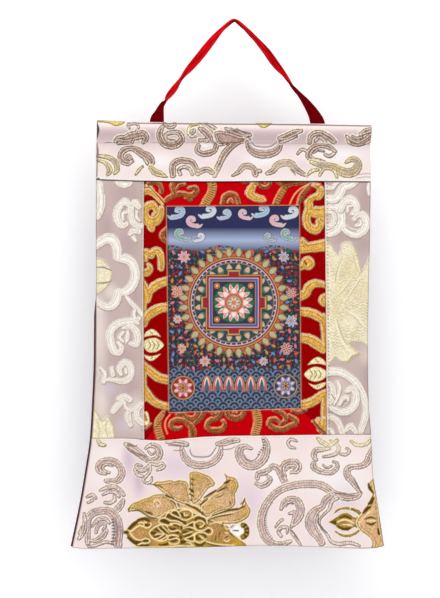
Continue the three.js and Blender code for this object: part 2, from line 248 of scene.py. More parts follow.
def build_weave_group():
    """Warp and weft threads: a height and a shade that follow the cloth's UV map, and a chance value
    for each float of the figure."""
    group, start, end = new_group(
        "threads",
        (
            ("Cloth", "NodeSocketVector", None),
            ("Warp pitch", "NodeSocketFloat", 0.4),
            ("Weft pitch", "NodeSocketFloat", 0.5),
            ("Float length", "NodeSocketFloat", 3.0),
        ),
        tuple((output, "NodeSocketFloat", None) for output in ("Height", "Shade", "Float")),
    )

    def count(place, pitch):
        """Threads up to a place on the UV map, for a pitch in millimetres."""
        return math_node(group, "DIVIDE", math_node(group, "MULTIPLY", place, CLOTH_UV), start.outputs[pitch])

    def wave(place):
        """Sine of so many turns."""
        return math_node(group, "SINE", math_node(group, "MULTIPLY", place, 2 * math.pi))

    parts = group.nodes.new("ShaderNodeSeparateXYZ")
    group.links.new(start.outputs["Cloth"], parts.inputs[0])
    warp = count(parts.outputs[0], "Warp pitch")
    weft = count(parts.outputs[1], "Weft pitch")
    ridge = wave(warp)
    step = math_node(group, "DIVIDE", math_node(group, "FLOOR", warp), start.outputs["Float length"])
    along = math_node(group, "ADD", math_node(group, "DIVIDE", weft, start.outputs["Float length"]), step)
    crossing = math_node(group, "ABSOLUTE", wave(along))
    height = math_node(group, "MULTIPLY_ADD", crossing, WEFT_SHARE, math_node(group, "ABSOLUTE", ridge))
    group.links.new(math_node(group, "MULTIPLY", height, THREAD_HEIGHT), end.inputs["Height"])
    patches = group.nodes.new("ShaderNodeTexNoise")
    patches.inputs["Scale"].default_value = DYE_PATCHES
    patches.inputs["Detail"].default_value = 3.0
    group.links.new(start.outputs["Cloth"], patches.inputs["Vector"])
    darker = math_node(group, "MULTIPLY", height, RIDGE_SHARE)
    shade = math_node(group, "MULTIPLY_ADD", patches.outputs[0], PATCH_SHARE, darker)
    group.links.new(shade, end.inputs["Shade"])
    line = math_node(group, "FLOOR", math_node(group, "DIVIDE", warp, FLOAT_WIDE))
    every_other = math_node(group, "MODULO", line, 2.0)
    offset = math_node(group, "MULTIPLY_ADD", every_other, 0.5, math_node(group, "DIVIDE", weft, FLOAT_LONG))
    cell = group.nodes.new("ShaderNodeCombineXYZ")
    group.links.new(line, cell.inputs[0])
    group.links.new(math_node(group, "FLOOR", offset), cell.inputs[1])
    chance = group.nodes.new("ShaderNodeTexWhiteNoise")
    chance.noise_dimensions = "2D"
    group.links.new(cell.outputs[0], chance.inputs["Vector"])
    group.links.new(chance.outputs["Value"], end.inputs["Float"])
    return group


THREADS = build_weave_group()


def new_material(name):
    """Empty material with its Principled shader and output; gives the material, its tree and the shader."""
    material = bpy.data.materials.new(name)
    material.use_nodes = True
    return material, material.node_tree, material.node_tree.nodes["Principled BSDF"]


def set_inputs(shader, values):
    """Constant values on the shader's own sockets."""
    for socket_name, value in values.items():
        shader.inputs[socket_name].default_value = value


def place_threads(tree, warp, weft, float_length):
    """The thread group on the piece's own UV map; gives its Height, Shade and Float sockets."""
    uv = tree.nodes.new("ShaderNodeUVMap")
    uv.uv_map = "cloth"
    node = tree.nodes.new("ShaderNodeGroup")
    node.node_tree = THREADS
    tree.links.new(uv.outputs[0], node.inputs["Cloth"])
    set_inputs(node, {"Warp pitch": warp, "Weft pitch": weft, "Float length": float_length})
    return node.outputs["Height"], node.outputs["Shade"], node.outputs["Float"]


def bump(tree, shader, height, strength, distance):
    """Bump node from a height to the shader's normal."""
    node = tree.nodes.new("ShaderNodeBump")
    set_inputs(node, {"Strength": strength, "Distance": distance})
    tree.links.new(height, node.inputs["Height"])
    tree.links.new(node.outputs[0], shader.inputs["Normal"])


def cotton_material():
    """Matt maroon plain weave with a slight unevenness of dye."""
    material, tree, shader = new_material("maroon_cotton")
    height, shade, _ = place_threads(tree, warp=0.6, weft=0.6, float_length=2.0)
    dyed = mix_colour(tree, shade, paint(52, 10, 18), paint(92, 20, 34))
    tree.links.new(dyed, shader.inputs["Base Color"])
    set_inputs(shader, {"Roughness": 0.85, "Sheen Weight": 0.25})
    bump(tree, shader, height, strength=0.5, distance=0.0002)
    return material


lining_edges = {
    "left": lambda down: left_edge(down)
    + LINING_HIDDEN
    - (LINING_HIDDEN + LINING_PROUD) * smooth((down - LEFT_CURL_START) / LINING_STEP_RUN),
    "right": lambda down: right_edge(down) - LINING_HIDDEN,
    "top": lambda x: stitch_line(x) + SLEEVE_TAIL + LINING_TOP_GAP,
    "bottom": lambda x: bottom_hem(x)
    - LINING_HIDDEN
    + (LINING_HIDDEN + LINING_UNDER_HEM) * smooth((x - UNDER_HEM_X) / UNDER_HEM_RUN),
}
mesh, u, v, in_front = cut_cloth("lining_cloth", fine=(110, 140), coarse=(70, 90))
x, down = panel_spot(lining_edges, u, v)
slack = SLACK * np.sin(x / SLACK_ACROSS + 1.3) * np.sin(down / SLACK_DOWN) ** 2
loose = ~in_front * smooth((down - SLACK_START) / SLACK_RUN)
y = LINING_BACK - curl(x, down) - LINING_THICK * in_front + slack * loose
lining = finish_cloth(mesh, (x, y, -down), x, -down, cotton_material())
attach(lining, "root")
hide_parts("lining")

# Picture
# A printed satin panel, its edges turned under the red frame that is sewn round it. The scene printed
# here is a round flower mandala with corner roundels and clouds, in the reds, greens and blues of its kind.
PUCKER_HEIGHT = 0.11
PUCKER_FADE = 7
PUCKER_WAVES = ((2.3, 0.7, 1.0), (3.9, 2.1, 0.8), (1.37, 0.0, 0.6))  # length, phase and share
HEADING_HEM = ((-151, 176.2), (-98, 178.1), (-20, 178.7), (60, 178.2), (149, 178.8))  # x, down
LEFT_SEAM = ((178, -99.3), (300, -99.8), (462, -98.9))  # down, x
RIGHT_SEAM = ((178, 99.2), (320, 100.6), (457, 101.7))  # down, x
BOTTOM_SEAM = (  # x, down
    (-155, 460.8), (-118, 460.9), (-81, 463.1), (-44, 459.9), (-3, 458.1), (44, 457.7), (100, 456.9),
    (150, 456.8),
)
PICTURE_TOP_LEFT = (-74.3, 206.6)
PICTURE_TOP_RIGHT = (71.2, 205.5)
PICTURE_BOTTOM_LEFT = (-71.6, 432.2)
PICTURE_BOTTOM_RIGHT = (73.1, 427.6)
CLOTH_BACK = 2.65
PICTURE_THICK = 1.0
PICTURE_TUCK = 0.5
RIDGES = (  # x, down, slope in degrees from level, length, width, height of each soft fold
    (-146, 512, 80, 130, 36, 2.0),
    (-96, 500, 108, 96, 30, 1.7),
    (-12, 530, 90, 110, 64, 1.5),
    (92, 520, 84, 120, 40, 1.8),
    (134, 522, 98, 110, 30, 1.4),
    (-128, 300, 91, 200, 34, 0.9),
    (124, 340, 89, 210, 36, 0.9),
    (-84, 158, 4, 110, 26, 0.9),
    (62, 157, -3, 130, 28, 1.0),
    (-30, 447, 2, 90, 18, 0.6),
)

heading_hem = line_through(HEADING_HEM)
left_seam = line_through(LEFT_SEAM)
right_seam = line_through(RIGHT_SEAM)
bottom_seam = line_through(BOTTOM_SEAM)


def straight_x(a, b):
    """x on the straight line from corner a to corner b, by height."""
    return lambda down: a[0] + (b[0] - a[0]) * (down - a[1]) / (b[1] - a[1])


def straight_down(a, b):
    """Height on the straight line from corner a to corner b, by x."""
    return lambda x: a[1] + (b[1] - a[1]) * (x - a[0]) / (b[0] - a[0])


def moved(edge, amount):
    """An edge moved aside."""
    return lambda at: edge(at) + amount


def drape(x, down):
    """How far the brocade stands forward, with the soft folds that lift it off the lining."""
    forward = curl(x, down)
    for fold_x, fold_down, slope, length, width, height in RIDGES:
        turn = math.radians(slope)
        right, up = x - fold_x, fold_down - down
        along = (right * math.cos(turn) + up * math.sin(turn)) / (length / 2)
        across = (up * math.cos(turn) - right * math.sin(turn)) / (width / 2)
        rise = np.clip(1 - along**2, 0, 1) ** 2 * np.clip(1 - across**2, 0, 1) ** 2
        forward = forward + height * rise
    return forward


def pucker(along, away):
    """Small waves that die out away from a sewn line."""
    wave = sum(share * np.sin(along / length + phase) for length, phase, share in PUCKER_WAVES)
    return PUCKER_HEIGHT * wave * np.exp(-np.abs(away) / PUCKER_FADE)


window_edges = {
    "left": straight_x(PICTURE_TOP_LEFT, PICTURE_BOTTOM_LEFT),
    "right": straight_x(PICTURE_TOP_RIGHT, PICTURE_BOTTOM_RIGHT),
    "top": straight_down(PICTURE_TOP_LEFT, PICTURE_TOP_RIGHT),
    "bottom": straight_down(PICTURE_BOTTOM_LEFT, PICTURE_BOTTOM_RIGHT),
}
OUTWARD = {"left": -1, "right": 1, "top": -1, "bottom": 1}
picture_edges = {side: moved(edge, OUTWARD[side] * PICTURE_TUCK) for side, edge in window_edges.items()}


# Raised threads of a motif get a painted highlight on their rim toward this light and a painted shade on the
# far rim
LIGHT_FROM = (-0.5, -0.86)  # x and down of the light that falls on raised threads
SOFT_EDGE = 0.7  # millimetres over which a woven edge blurs
HALO_REACH = 3  # how far outside a motif its halo can lie
OUTSIDE = -99.0
# Strength and spread of the painted highlight and painted shade on motif rims
PAINTED_RIM_STRENGTH = 0.9
PAINTED_RIM_SPREAD = 1.4
HIGHLIGHT_RIM = (-0.7, 0.8)  # how deep in the motif each rim lies, and its half width
SHADE_RIM = (0.3, 0.9)
THIN_FIGURE = 0.4  # how far lines and bars count as raised figure


def smooth_rows(rows, closed=False, finer=5):
    """More points of a smooth line through rows; a row given twice makes a sharp corner."""
    p = np.array(rows, float)
    p = np.vstack((p[-1], p, p[0], p[1])) if closed else np.vstack((p[0], p, p[-1]))
    t = np.linspace(0, 1, finer, endpoint=False)[:, None]
    spans = []
    for a, b, c, d in zip(p, p[1:], p[2:], p[3:]):
        if np.any(b != c):
            bend = (c - a) * t + (2 * a - 5 * b + 4 * c - d) * t**2 + (3 * b - a - 3 * c + d) * t**3
            spans.append(b + bend / 2)
    return np.vstack((*spans, spans[0][:1] if closed else p[-2]))


def blurred(depth, soft=SOFT_EDGE):
    """How far a shape covers at a depth inside its edge: a half on the edge, and cover() clips it."""
    return 0.5 + depth / soft


class Dyer:
    """Draws woven motifs on a cloth's points: their dye, raised figure threads, gold and height.
    The dye also takes painted light and shade. The motifs are charted in millimetres as bands
    (x, down, width) and patches (x, down)."""

    def __init__(self, x, down, ground):
        self.x, self.down = x, down
        self.everywhere = np.arange(len(x))
        self.dye = np.tile(linear(*ground), (len(x), 1))
        self.figure, self.gold, self.height = (np.zeros(len(x)) for _ in range(3))

    def near(self, line, reach):
        """Points in the box round a line."""
        low, high = line.min(axis=0) - reach, line.max(axis=0) + reach
        inside = (self.x > low[0]) & (self.x < high[0]) & (self.down > low[1]) & (self.down < high[1])
        return np.nonzero(inside)[0]

    def depth(self, rows, closed=False, reach=6.0):
        """Points near a shape, how deep each is inside it, how far along its line it is, and how far
        that edge turns toward the light."""
        line = smooth_rows(rows, closed)
        wide = line[:, 2] if line.shape[1] > 2 else np.zeros(len(line))
        where = self.near(line[:, :2], reach + wide.max() / 2)
        start, run = line[:-1, :2], np.diff(line[:, :2], axis=0)
        size = np.maximum(np.hypot(*run.T), 1e-6)
        to_x = self.x[where, None] - start[:, 0]
        to_down = self.down[where, None] - start[:, 1]
        share = np.clip((to_x * run[:, 0] + to_down * run[:, 1]) / size**2, 0, 1)
        away = np.hypot(to_x - share * run[:, 0], to_down - share * run[:, 1])
        inside = (wide[:-1] + share * np.diff(wide)) / 2 - away
        best = inside.argmax(axis=1)
        row = np.arange(len(where))
        depth = inside[row, best]
        share, away = share[row, best], away[row, best]
        off_x = to_x[row, best] - share * run[best, 0]
        off_down = to_down[row, best] - share * run[best, 1]
        toward_light = LIGHT_FROM[0] * off_x + LIGHT_FROM[1] * off_down
        if closed:
            crossed = (start[:, 1] > self.down[where, None]) != (line[1:, 1] > self.down[where, None])
            rise = np.where(run[:, 1] == 0, 1, run[:, 1])
            left = self.x[where, None] < start[:, 0] + to_down * run[:, 0] / rise
            inner = (crossed & left).sum(axis=1) % 2 == 1
            depth = np.where(inner, -depth, depth)
            toward_light = np.where(inner, -toward_light, toward_light)
        along = (np.concatenate(([0], np.cumsum(size)))[:-1])[best] + share * size[best]
        return where, depth, along, toward_light / np.maximum(away, 0.3)

    def cover(self, where, amount, colour, figure=None, gold=None, height=None):
        """Lay a colour over points by an amount from 0 to 1."""
        amount = np.clip(amount, 0, 1)
        self.dye[where] += amount[:, None] * (linear(*colour) - self.dye[where])
        for mask, value in ((self.figure, figure), (self.gold, gold), (self.height, height)):
            if value is not None:
                mask[where] += amount * (value - mask[where])

    def motif(self, look, bands=(), patches=()):
        """Bands and patches joined in one motif: halo, outline, fill, inner lines. Its raised threads
        get a painted highlight on the rim toward the light and a painted shade on the rim away from it."""
        deep = np.full(len(self.x), OUTSIDE)
        lit = np.zeros(len(self.x))
        for rows, closed in [(rows, False) for rows in bands] + [(rows, True) for rows in patches]:
            where, depth, _, toward_light = self.depth(rows, closed)
            deeper = depth > deep[where]
            deep[where[deeper]], lit[where[deeper]] = depth[deeper], toward_light[deeper]
        where = np.nonzero(deep > -HALO_REACH)[0]
        x, down, lit = self.x[where], self.down[where], lit[where]
        wobble = np.sin(1.9 * x + 2 * np.sin(1.3 * down)) * np.sin(1.7 * down + 2 * np.sin(1.1 * x))
        deep = deep[where] + look.get("grow", 0.0) + look.get("uneven", 0.2) * wobble
        halo, edge, gold = look["halo"], look["edge"], look.get("gold", 0.0)
        height, figure = look.get("height", 0.35), look.get("figure", 1.0)
        self.cover(where, blurred(deep + halo[0]), halo[1], 0.0, 0.0)
        self.cover(where, blurred(deep), edge[1], 0.6, gold, height * 0.6)
        self.cover(where, blurred(deep - edge[0]), look["fill"], figure, gold, height)
        if "patchy" in look:
            cloudy = np.sin(0.43 * x + 1.7 * np.sin(0.27 * down))
            cloudy = cloudy * np.sin(0.39 * down + 1.9 * np.sin(0.23 * x))
            inner = np.clip((deep - edge[0]) / SOFT_EDGE, 0, 1)
            self.cover(where, (0.45 + 0.45 * cloudy) * inner, look["patchy"])
        for at, wide, colour in look.get("veins", ()):
            self.cover(where, blurred(wide / 2 - np.abs(deep - at)), colour)
        # painted highlight on the rim that faces the light, painted shade on the rim away from it
        if "painted_light_rims" in look:
            bright, dark = look["painted_light_rims"]
            for (at, wide), turn, colour in ((HIGHLIGHT_RIM, 1, bright), (SHADE_RIM, -1, dark)):
                rim = np.clip(1 - np.abs(deep - at) / wide, 0, 1)
                self.cover(where, PAINTED_RIM_STRENGTH * rim * np.clip(turn * PAINTED_RIM_SPREAD * lit, 0, 1), colour)

    def in_round(self, x, down, wide, tall):
        """Points in an oval of the given half width and half height, and how far out each is."""
        far = np.hypot((self.x - x) / wide, (self.down - down) / tall)
        where = np.nonzero(far < 1)[0]
        return where, far[where]

    def paint_light_and_shade(self, colour, spots, amount):
        """Soft rounds of painted light and shade over the ground: x, down, half width and half height."""
        for spot in spots:
            where, far = self.in_round(*spot)
            self.cover(where, amount * (1 - far**2) ** 2, colour)

    def lines(self, colour, rows_list):
        """Thin woven lines."""
        for rows in rows_list:
            where, depth, _, _ = self.depth(rows)
            self.cover(where, blurred(depth), colour, THIN_FIGURE)

    def ticks(self, colour, rows, pitch, share=0.45):
        """Short bars across a band."""
        where, depth, along, _ = self.depth(rows)
        bar = share / 2 - np.abs((along / pitch) % 1 - 0.5)
        amount = np.clip(blurred(depth), 0, 1) * np.clip(blurred(bar * pitch), 0, 1)
        self.cover(where, amount, colour, THIN_FIGURE)

    def rope(self, look, rows, colour, pitch):
        """A band with short bars across it, like a twisted cord."""
        self.motif(look, (rows,))
        self.ticks(colour, rows, pitch, 0.5)

    def blush(self, colour, spots, amount):
        """Soft rounds of another dye, on raised threads alone: x, down and radius."""
        for x, down, radius in spots:
            where, far = self.in_round(x, down, radius, radius)
            self.cover(where, amount * (1 - far**2) * self.figure[where], colour)

    def grain(self, colour, spots, amount, pitch):
        """Fine wavy ribs of another dye on raised threads, in soft rounds: x, down and radius."""
        for x, down, radius in spots:
            where, far = self.in_round(x, down, radius, radius)
            arc = np.hypot(self.x[where] - x, 1.3 * (self.down[where] - down - radius))
            rib = np.sin(2 * np.pi * arc / pitch + 1.6 * np.sin(2 * np.pi * self.x[where] / (1.7 * pitch)))
            amounts = amount * np.clip(0.5 + rib, 0, 1) * np.clip(3 - 3 * far, 0, 1)
            self.cover(where, amounts * self.figure[where], colour)


NIGHT, HIGH_SKY, LOW_SKY, POOL_BLUE = (34, 28, 48), (24, 28, 80), (176, 190, 222), (34, 36, 66)
LEAF_GREEN, SEA_GREEN, SKY_BLUE, DEEP_BLUE = (58, 92, 64), (56, 76, 92), (110, 132, 188), (38, 42, 104)
ROSE, CORAL, CRIMSON, AMBER = (214, 118, 138), (206, 90, 52), (150, 14, 34), (196, 140, 60)
CHALK, GILDING, INK = (232, 218, 220), (198, 156, 84), (20, 14, 26)
DUSK_PINK, PALE_JADE, BRICK, SLATE = (150, 74, 88), (168, 190, 180), (166, 46, 48), (36, 62, 70)
PINE, SAND, GREY_GREEN, BISCUIT = (52, 88, 78), (190, 176, 130), (72, 108, 84), (206, 178, 150)
VIOLET, INDIGO, GRASS_GREEN, PEACH = (72, 84, 146), (40, 34, 74), (40, 104, 60), (250, 226, 214)
MILK_WHITE, PINK, PEONY = (236, 226, 214), (226, 130, 140), (214, 92, 104)
LOTUS_RED, LOTUS_TIP, LOTUS_HEART = (206, 84, 92), (244, 214, 206), (46, 96, 120)
WAVE_DYES = ((34, 62, 96), (126, 138, 158), (20, 18, 42))
CLOUD_DYES = ((150, 186, 214), (226, 170, 176), (196, 214, 226), (120, 168, 160))
PRINT_SOFT = 0.5  # millimetres over which a printed edge blurs
SKY_DOWN = 252
POOL_DOWN = 384
WAVE_WIDE = 12.0
WAVE_TALL = 5.6
LEAVES = (  # pitch, length, dyes and seed of each sowing of leaves on the land
    (4.6, 2.3, (LEAF_GREEN, CRIMSON, DUSK_PINK, SEA_GREEN), 3),
    (7.9, 3.2, (CORAL, ROSE, LEAF_GREEN, AMBER, SKY_BLUE, CRIMSON), 5),
    (6.1, 1.1, (CHALK, NIGHT, PALE_JADE, NIGHT), 8),
)
LEAF_TURN = 3.1
SOWN = 97  # different leaves before they repeat
CLOUDS = (  # x, down, size
    (-62, 214, 1.0), (-45, 224, 0.9), (-28, 213, 1.0), (-58, 238, 0.9), (30, 212, 1.0), (46, 223, 0.9),
    (62, 214, 1.0), (58, 238, 0.9), (-10, 216, 0.8), (11, 216, 0.8), (-38, 241, 0.7), (38, 241, 0.7),
)
CLOUD_CURL = (
    (-6, 3, 2), (-2, 4, 4), (3, 3, 5), (6, -1, 5), (4, -5, 4.5), (0, -5, 4), (-1.5, -2, 3), (1.5, -1, 2),
)
CLOUD_TAIL = ((0, 5, 3), (-7, 5.5, 3.5), (-11, 3, 1.2))
FLOWERS = (  # x, down
    (-55, 262), (54, 262), (-57, 362), (57, 362), (-32, 376), (32, 376), (-62, 300), (62, 302),
    (-62, 330), (62, 332),
)
FLOWER_DYES = ((ROSE, CHALK), (SKY_BLUE, CHALK), (CORAL, AMBER), (CRIMSON, ROSE))  # petal, tip
LOTUS_ROW_DOWN = 399
LOTUS_ROW_HALF = (36, 9)  # half its width and height
LOTUS_PITCH = 12.0
LOTUS_FOOT = 408
LOTUS_TALL = 16
LOTUS_HALF = 5.6
MANDALA_X, MANDALA_DOWN = -0.5, 312.0
MANDALA_RINGS = (  # radius, dye
    (50.5, INK), (49.9, GILDING), (48.7, CRIMSON), (46.9, CHALK), (46.2, DEEP_BLUE), (43.9, GILDING),
    (43.2, SLATE),
)
BEADS = 48
BEAD_RADIUS = 0.75
BEAD_RING = 45.1
COURTS = (  # half width, dye, half width of the gates
    (31.0, INK, 7.0), (30.4, GILDING, 6.5), (29.4, CRIMSON, 5.6), (27.0, CHALK, 0), (26.4, VIOLET, 0),
    (23.8, GILDING, 0), (23.2, INDIGO, 0),
)
COURT_CORNER = 18.4
COURT_BOSS = ((3.6, INK), (3.1, AMBER), (2.2, CORAL), (1.0, CHALK))  # radius, dye
FRAME_SHADOW = (-74.5, 74, 205.6, 430.5)  # left, right, top and bottom of the shade that the frame casts


def scatter(cloth, inside, pitch, size, dyes, seed):
    """Small leaf-shaped dabs, one to a cell of the given pitch, in mixed dyes."""
    rng = np.random.default_rng(seed)
    column = np.floor(cloth.x / pitch).astype(int)
    line = np.floor(cloth.down / pitch).astype(int)
    table = rng.random((4, SOWN))
    key = (column * 31 + line * 17) % SOWN
    off_x = cloth.x - (column + 0.5 + 0.3 * (table[0][key] - 0.5)) * pitch
    off_down = cloth.down - (line + 0.5 + 0.3 * (table[1][key] - 0.5)) * pitch
    turn = table[2][key] * LEAF_TURN
    along = off_x * np.cos(turn) + off_down * np.sin(turn)
    across = off_down * np.cos(turn) - off_x * np.sin(turn)
    depth = size * (1 - (along / size) ** 2) * 0.5 - np.abs(across)
    pick = np.floor(table[3][key] * len(dyes)).astype(int)
    for k, dye in enumerate(dyes):
        where = np.nonzero(inside & (pick == k) & (depth > -0.6))[0]
        cloth.cover(where, blurred(depth[where] + 0.25, PRINT_SOFT), INK)
        cloth.cover(where, blurred(depth[where] - 0.2, PRINT_SOFT), dye)


def flower_ring(cloth, x, down, inner, outer, count, dye, tip, rim=GILDING, turned=0.0, full=0.85):
    """A ring of petals round a centre, each with a gilded rim and a paler tip."""
    far = np.hypot(cloth.x - x, cloth.down - down)
    where = np.nonzero((far > inner - 0.8) & (far < outer + 0.8))[0]
    angle = np.arctan2(cloth.down[where] - down, cloth.x[where] - x) / (2 * math.pi) * count + turned
    reach = (far[where] - inner) / (outer - inner)
    half = full * math.pi * (inner + (outer - inner) * 0.55) / count
    body = np.sin(np.clip(reach, 0, 1) ** 0.75 * math.pi) ** 0.6
    depth = half * body - np.abs(angle % 1 - 0.5) * 2 * math.pi * far[where] / count
    depth = np.where((reach < 0) | (reach > 1), -1, depth)
    cloth.cover(where, blurred(depth, PRINT_SOFT), rim)
    cloth.cover(where, blurred(depth - 0.55, PRINT_SOFT), dye)
    cloth.cover(where, blurred(depth - 1.1, PRINT_SOFT) * np.clip(reach * 1.6 - 0.4, 0, 1), tip)


def disc(cloth, x, down, radius, dye):
    """A round of one dye."""
    depth = radius - np.hypot(cloth.x - x, cloth.down - down)
    where = np.nonzero(depth > -0.6)[0]
    cloth.cover(where, blurred(depth[where], PRINT_SOFT), dye)


def square(cloth, half, dye, gate):
    """A square court with a gate standing out of the middle of each side."""
    x, down = np.abs(cloth.x - MANDALA_X), np.abs(cloth.down - MANDALA_DOWN)
    depth = half - np.maximum(x, down)
    if gate:
        long, short = np.maximum(x, down), np.minimum(x, down)
        depth = np.maximum(depth, np.minimum(gate - short, half + gate * 0.8 - long))
    where = np.nonzero(depth > -0.6)[0]
    cloth.cover(where, blurred(depth[where], PRINT_SOFT), dye)


def draw_ground(cloth):
    """Sky, a land of small leaves and a pool with rows of waves."""
    x, down = cloth.x, cloth.down
    sky = down < SKY_DOWN + 3 * np.sin(x / 9)
    pool = down > POOL_DOWN + 2.5 * np.sin(x / 7 + 1)
    cloth.cover(cloth.everywhere, np.clip((SKY_DOWN - 2 - down) / 8, 0, 1), HIGH_SKY)
    cloth.cover(cloth.everywhere, 0.9 * np.clip(1 - np.abs(down - (SKY_DOWN - 8)) / 14, 0, 1), LOW_SKY)
    cloth.cover(cloth.everywhere, np.clip((down - (POOL_DOWN - 4)) / 30, 0, 1), POOL_BLUE)
    for pitch, size, dyes, seed in LEAVES:
        scatter(cloth, ~sky & ~pool, pitch, size, dyes, seed)
    shift = np.floor(down / WAVE_TALL) / 2
    swell = np.hypot((x / WAVE_WIDE + shift) % 1 - 0.5, (down % WAVE_TALL - WAVE_TALL) / WAVE_WIDE)
    band = np.floor(swell * 9) % len(WAVE_DYES)
    for k, dye in enumerate(WAVE_DYES):
        where = np.nonzero(pool & (band == k))[0]
        cloth.cover(where, np.full(len(where), 0.85), dye)


def draw_clouds_and_flowers(cloth):
    """Curled clouds that face each way in turn, small flowers, and a roundel in each lower corner."""
    look = {"halo": (0.5, INK), "edge": (0.6, CHALK), "height": 0.0}
    for k, (x, down, size) in enumerate(CLOUDS):
        flip = -1 if k % 2 else 1
        bands = [
            [(x + flip * size * a, down + size * b, size * wide) for a, b, wide in rows]
            for rows in (CLOUD_CURL, CLOUD_TAIL)
        ]
        cloth.motif({**look, "fill": CLOUD_DYES[k % 4]}, bands)
    for k, (x, down) in enumerate(FLOWERS):
        petal, tip = FLOWER_DYES[k % 4]
        flower_ring(cloth, x, down, 1.5, 7.0 - k % 3, 8, petal, tip, CHALK)
        disc(cloth, x, down, 1.8, AMBER)
    for x, down, ground, petal in ((-56, 405, CRIMSON, ROSE), (56, 403, DEEP_BLUE, SKY_BLUE)):
        for radius, dye in ((13.5, INK), (13.0, GILDING), (12.0, ground)):
            disc(cloth, x, down, radius, dye)
        flower_ring(cloth, x, down, 3.5, 11.0, 8, petal, CHALK)
        flower_ring(cloth, x, down, 1.0, 5.5, 6, AMBER, CHALK, INK, 0.5)


def draw_lotus_row(cloth):
    """Upright lotus petals side by side across the pool."""
    middle = LOTUS_ROW_DOWN + 0.4 * np.sin(cloth.x / 6)
    inside = (np.abs(cloth.down - middle) < LOTUS_ROW_HALF[1]) & (np.abs(cloth.x) < LOTUS_ROW_HALF[0])
    where = np.nonzero(inside)[0]
    x, down = cloth.x[where], cloth.down[where]
    up = ((LOTUS_FOOT - down) / LOTUS_TALL).clip(0, 1)
    leaf = np.sqrt(1 - up**2) * LOTUS_HALF - np.abs(x / LOTUS_PITCH % 1 - 0.5) * LOTUS_PITCH
    for inset, dye in ((-0.5, INK), (0, GILDING), (0.7, LOTUS_RED)):
        cloth.cover(where, blurred(leaf - inset, PRINT_SOFT), dye)
    cloth.cover(where, blurred(leaf - 1.8, PRINT_SOFT) * np.clip((404 - down) / 8, 0, 1), LOTUS_TIP)
    cloth.cover(where, blurred(leaf - 3.2, PRINT_SOFT), LOTUS_HEART)


def draw_mandala(cloth):
    """Rings of petals, a beaded ring, a square court with four gates and a flower, from the rim inward."""
    middle = (MANDALA_X, MANDALA_DOWN)
    x, down = cloth.x - MANDALA_X, cloth.down - MANDALA_DOWN
    flower_ring(cloth, *middle, 46.0, 60.5, 32, PINE, SAND, AMBER)
    flower_ring(cloth, *middle, 44.0, 54.5, 32, BRICK, CORAL, INK, 0.5)
    for radius, dye in MANDALA_RINGS:
        disc(cloth, *middle, radius, dye)
    beads = np.arctan2(down, x) / (2 * math.pi) * BEADS
    across = (beads % 1 - 0.5) * 2 * math.pi * BEAD_RING / BEADS
    bead = BEAD_RADIUS - np.hypot(np.hypot(x, down) - BEAD_RING, across)
    where = np.nonzero(bead > -0.5)[0]
    cloth.cover(where, blurred(bead[where], PRINT_SOFT), CHALK)
    flower_ring(cloth, *middle, 33.0, 43.0, 24, GREY_GREEN, BISCUIT, INK)
    for half, dye, gate in COURTS:
        square(cloth, half, dye, gate)
    corner_far = np.hypot(np.abs(x) - COURT_CORNER, np.abs(down) - COURT_CORNER)
    for radius, dye in COURT_BOSS:
        where = np.nonzero(corner_far < radius + 0.5)[0]
        cloth.cover(where, blurred(radius - corner_far[where], PRINT_SOFT), dye)
    disc(cloth, *middle, 22.4, INK)
    disc(cloth, *middle, 21.8, GRASS_GREEN)
    flower_ring(cloth, *middle, 12.0, 21.0, 16, MILK_WHITE, PINK, INK)
    flower_ring(cloth, *middle, 7.5, 16.5, 8, PEONY, PEACH, GILDING, 0.5, 0.95)
    disc(cloth, *middle, 8.6, INK)
    disc(cloth, *middle, 8.1, GILDING)
    flower_ring(cloth, *middle, 2.0, 7.4, 8, CHALK, ROSE, CRIMSON)
    disc(cloth, *middle, 2.6, AMBER)


def draw_picture(cloth):
    """The whole print, and the shade that the frame casts round its edge."""
    draw_ground(cloth)
    draw_clouds_and_flowers(cloth)
    draw_lotus_row(cloth)
    draw_mandala(cloth)
    x, down = cloth.x, cloth.down
    left, right, top, bottom = FRAME_SHADOW
    edge = np.minimum(np.minimum(x - left, right - x), np.minimum(down - top, bottom - down))
    cloth.cover(cloth.everywhere, 0.55 * np.clip(1 - edge / 4, 0, 1), INK)


def dye_socket(tree):
    """The painted colour of the cloth: its dye with the painted light and shade in it."""
    node = tree.nodes.new("ShaderNodeVertexColor")
    node.layer_name = "dye"
    return node.outputs[0]


def mask_socket(tree, name):
    """A painted mask of the cloth."""
    node = tree.nodes.new("ShaderNodeAttribute")
    node.attribute_name = name
    return node.outputs["Fac"]


def print_material():
    """Printed satin: the painted dye over a fine weave with a soft gloss."""
    material, tree, shader = new_material("printed_satin")
    height, shade, _ = place_threads(tree, warp=0.35, weft=0.35, float_length=2.0)
    dulled = mix_colour(tree, math_node(tree, "MULTIPLY", shade, 0.06), dye_socket(tree), (0.3, 0.3, 0.3, 1))
    tree.links.new(dulled, shader.inputs["Base Color"])
    set_inputs(shader, {"Roughness": 0.5, "Specular IOR Level": 0.2})
    bump(tree, shader, height, strength=0.25, distance=0.0001)
    return material


mesh, u, v, in_front = cut_cloth("picture_cloth", fine=(240, 370), coarse=(20, 30))
x, down = panel_spot(picture_edges, u, v)
y = CLOTH_BACK - PICTURE_THICK * in_front - drape(x, down)
scene_print = Dyer(x, down, NIGHT)
draw_picture(scene_print)
picture = finish_cloth(mesh, (x, y, -down), x, -down, print_material(), scene_print.dye)
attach(picture, "root")
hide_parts("picture_panel")

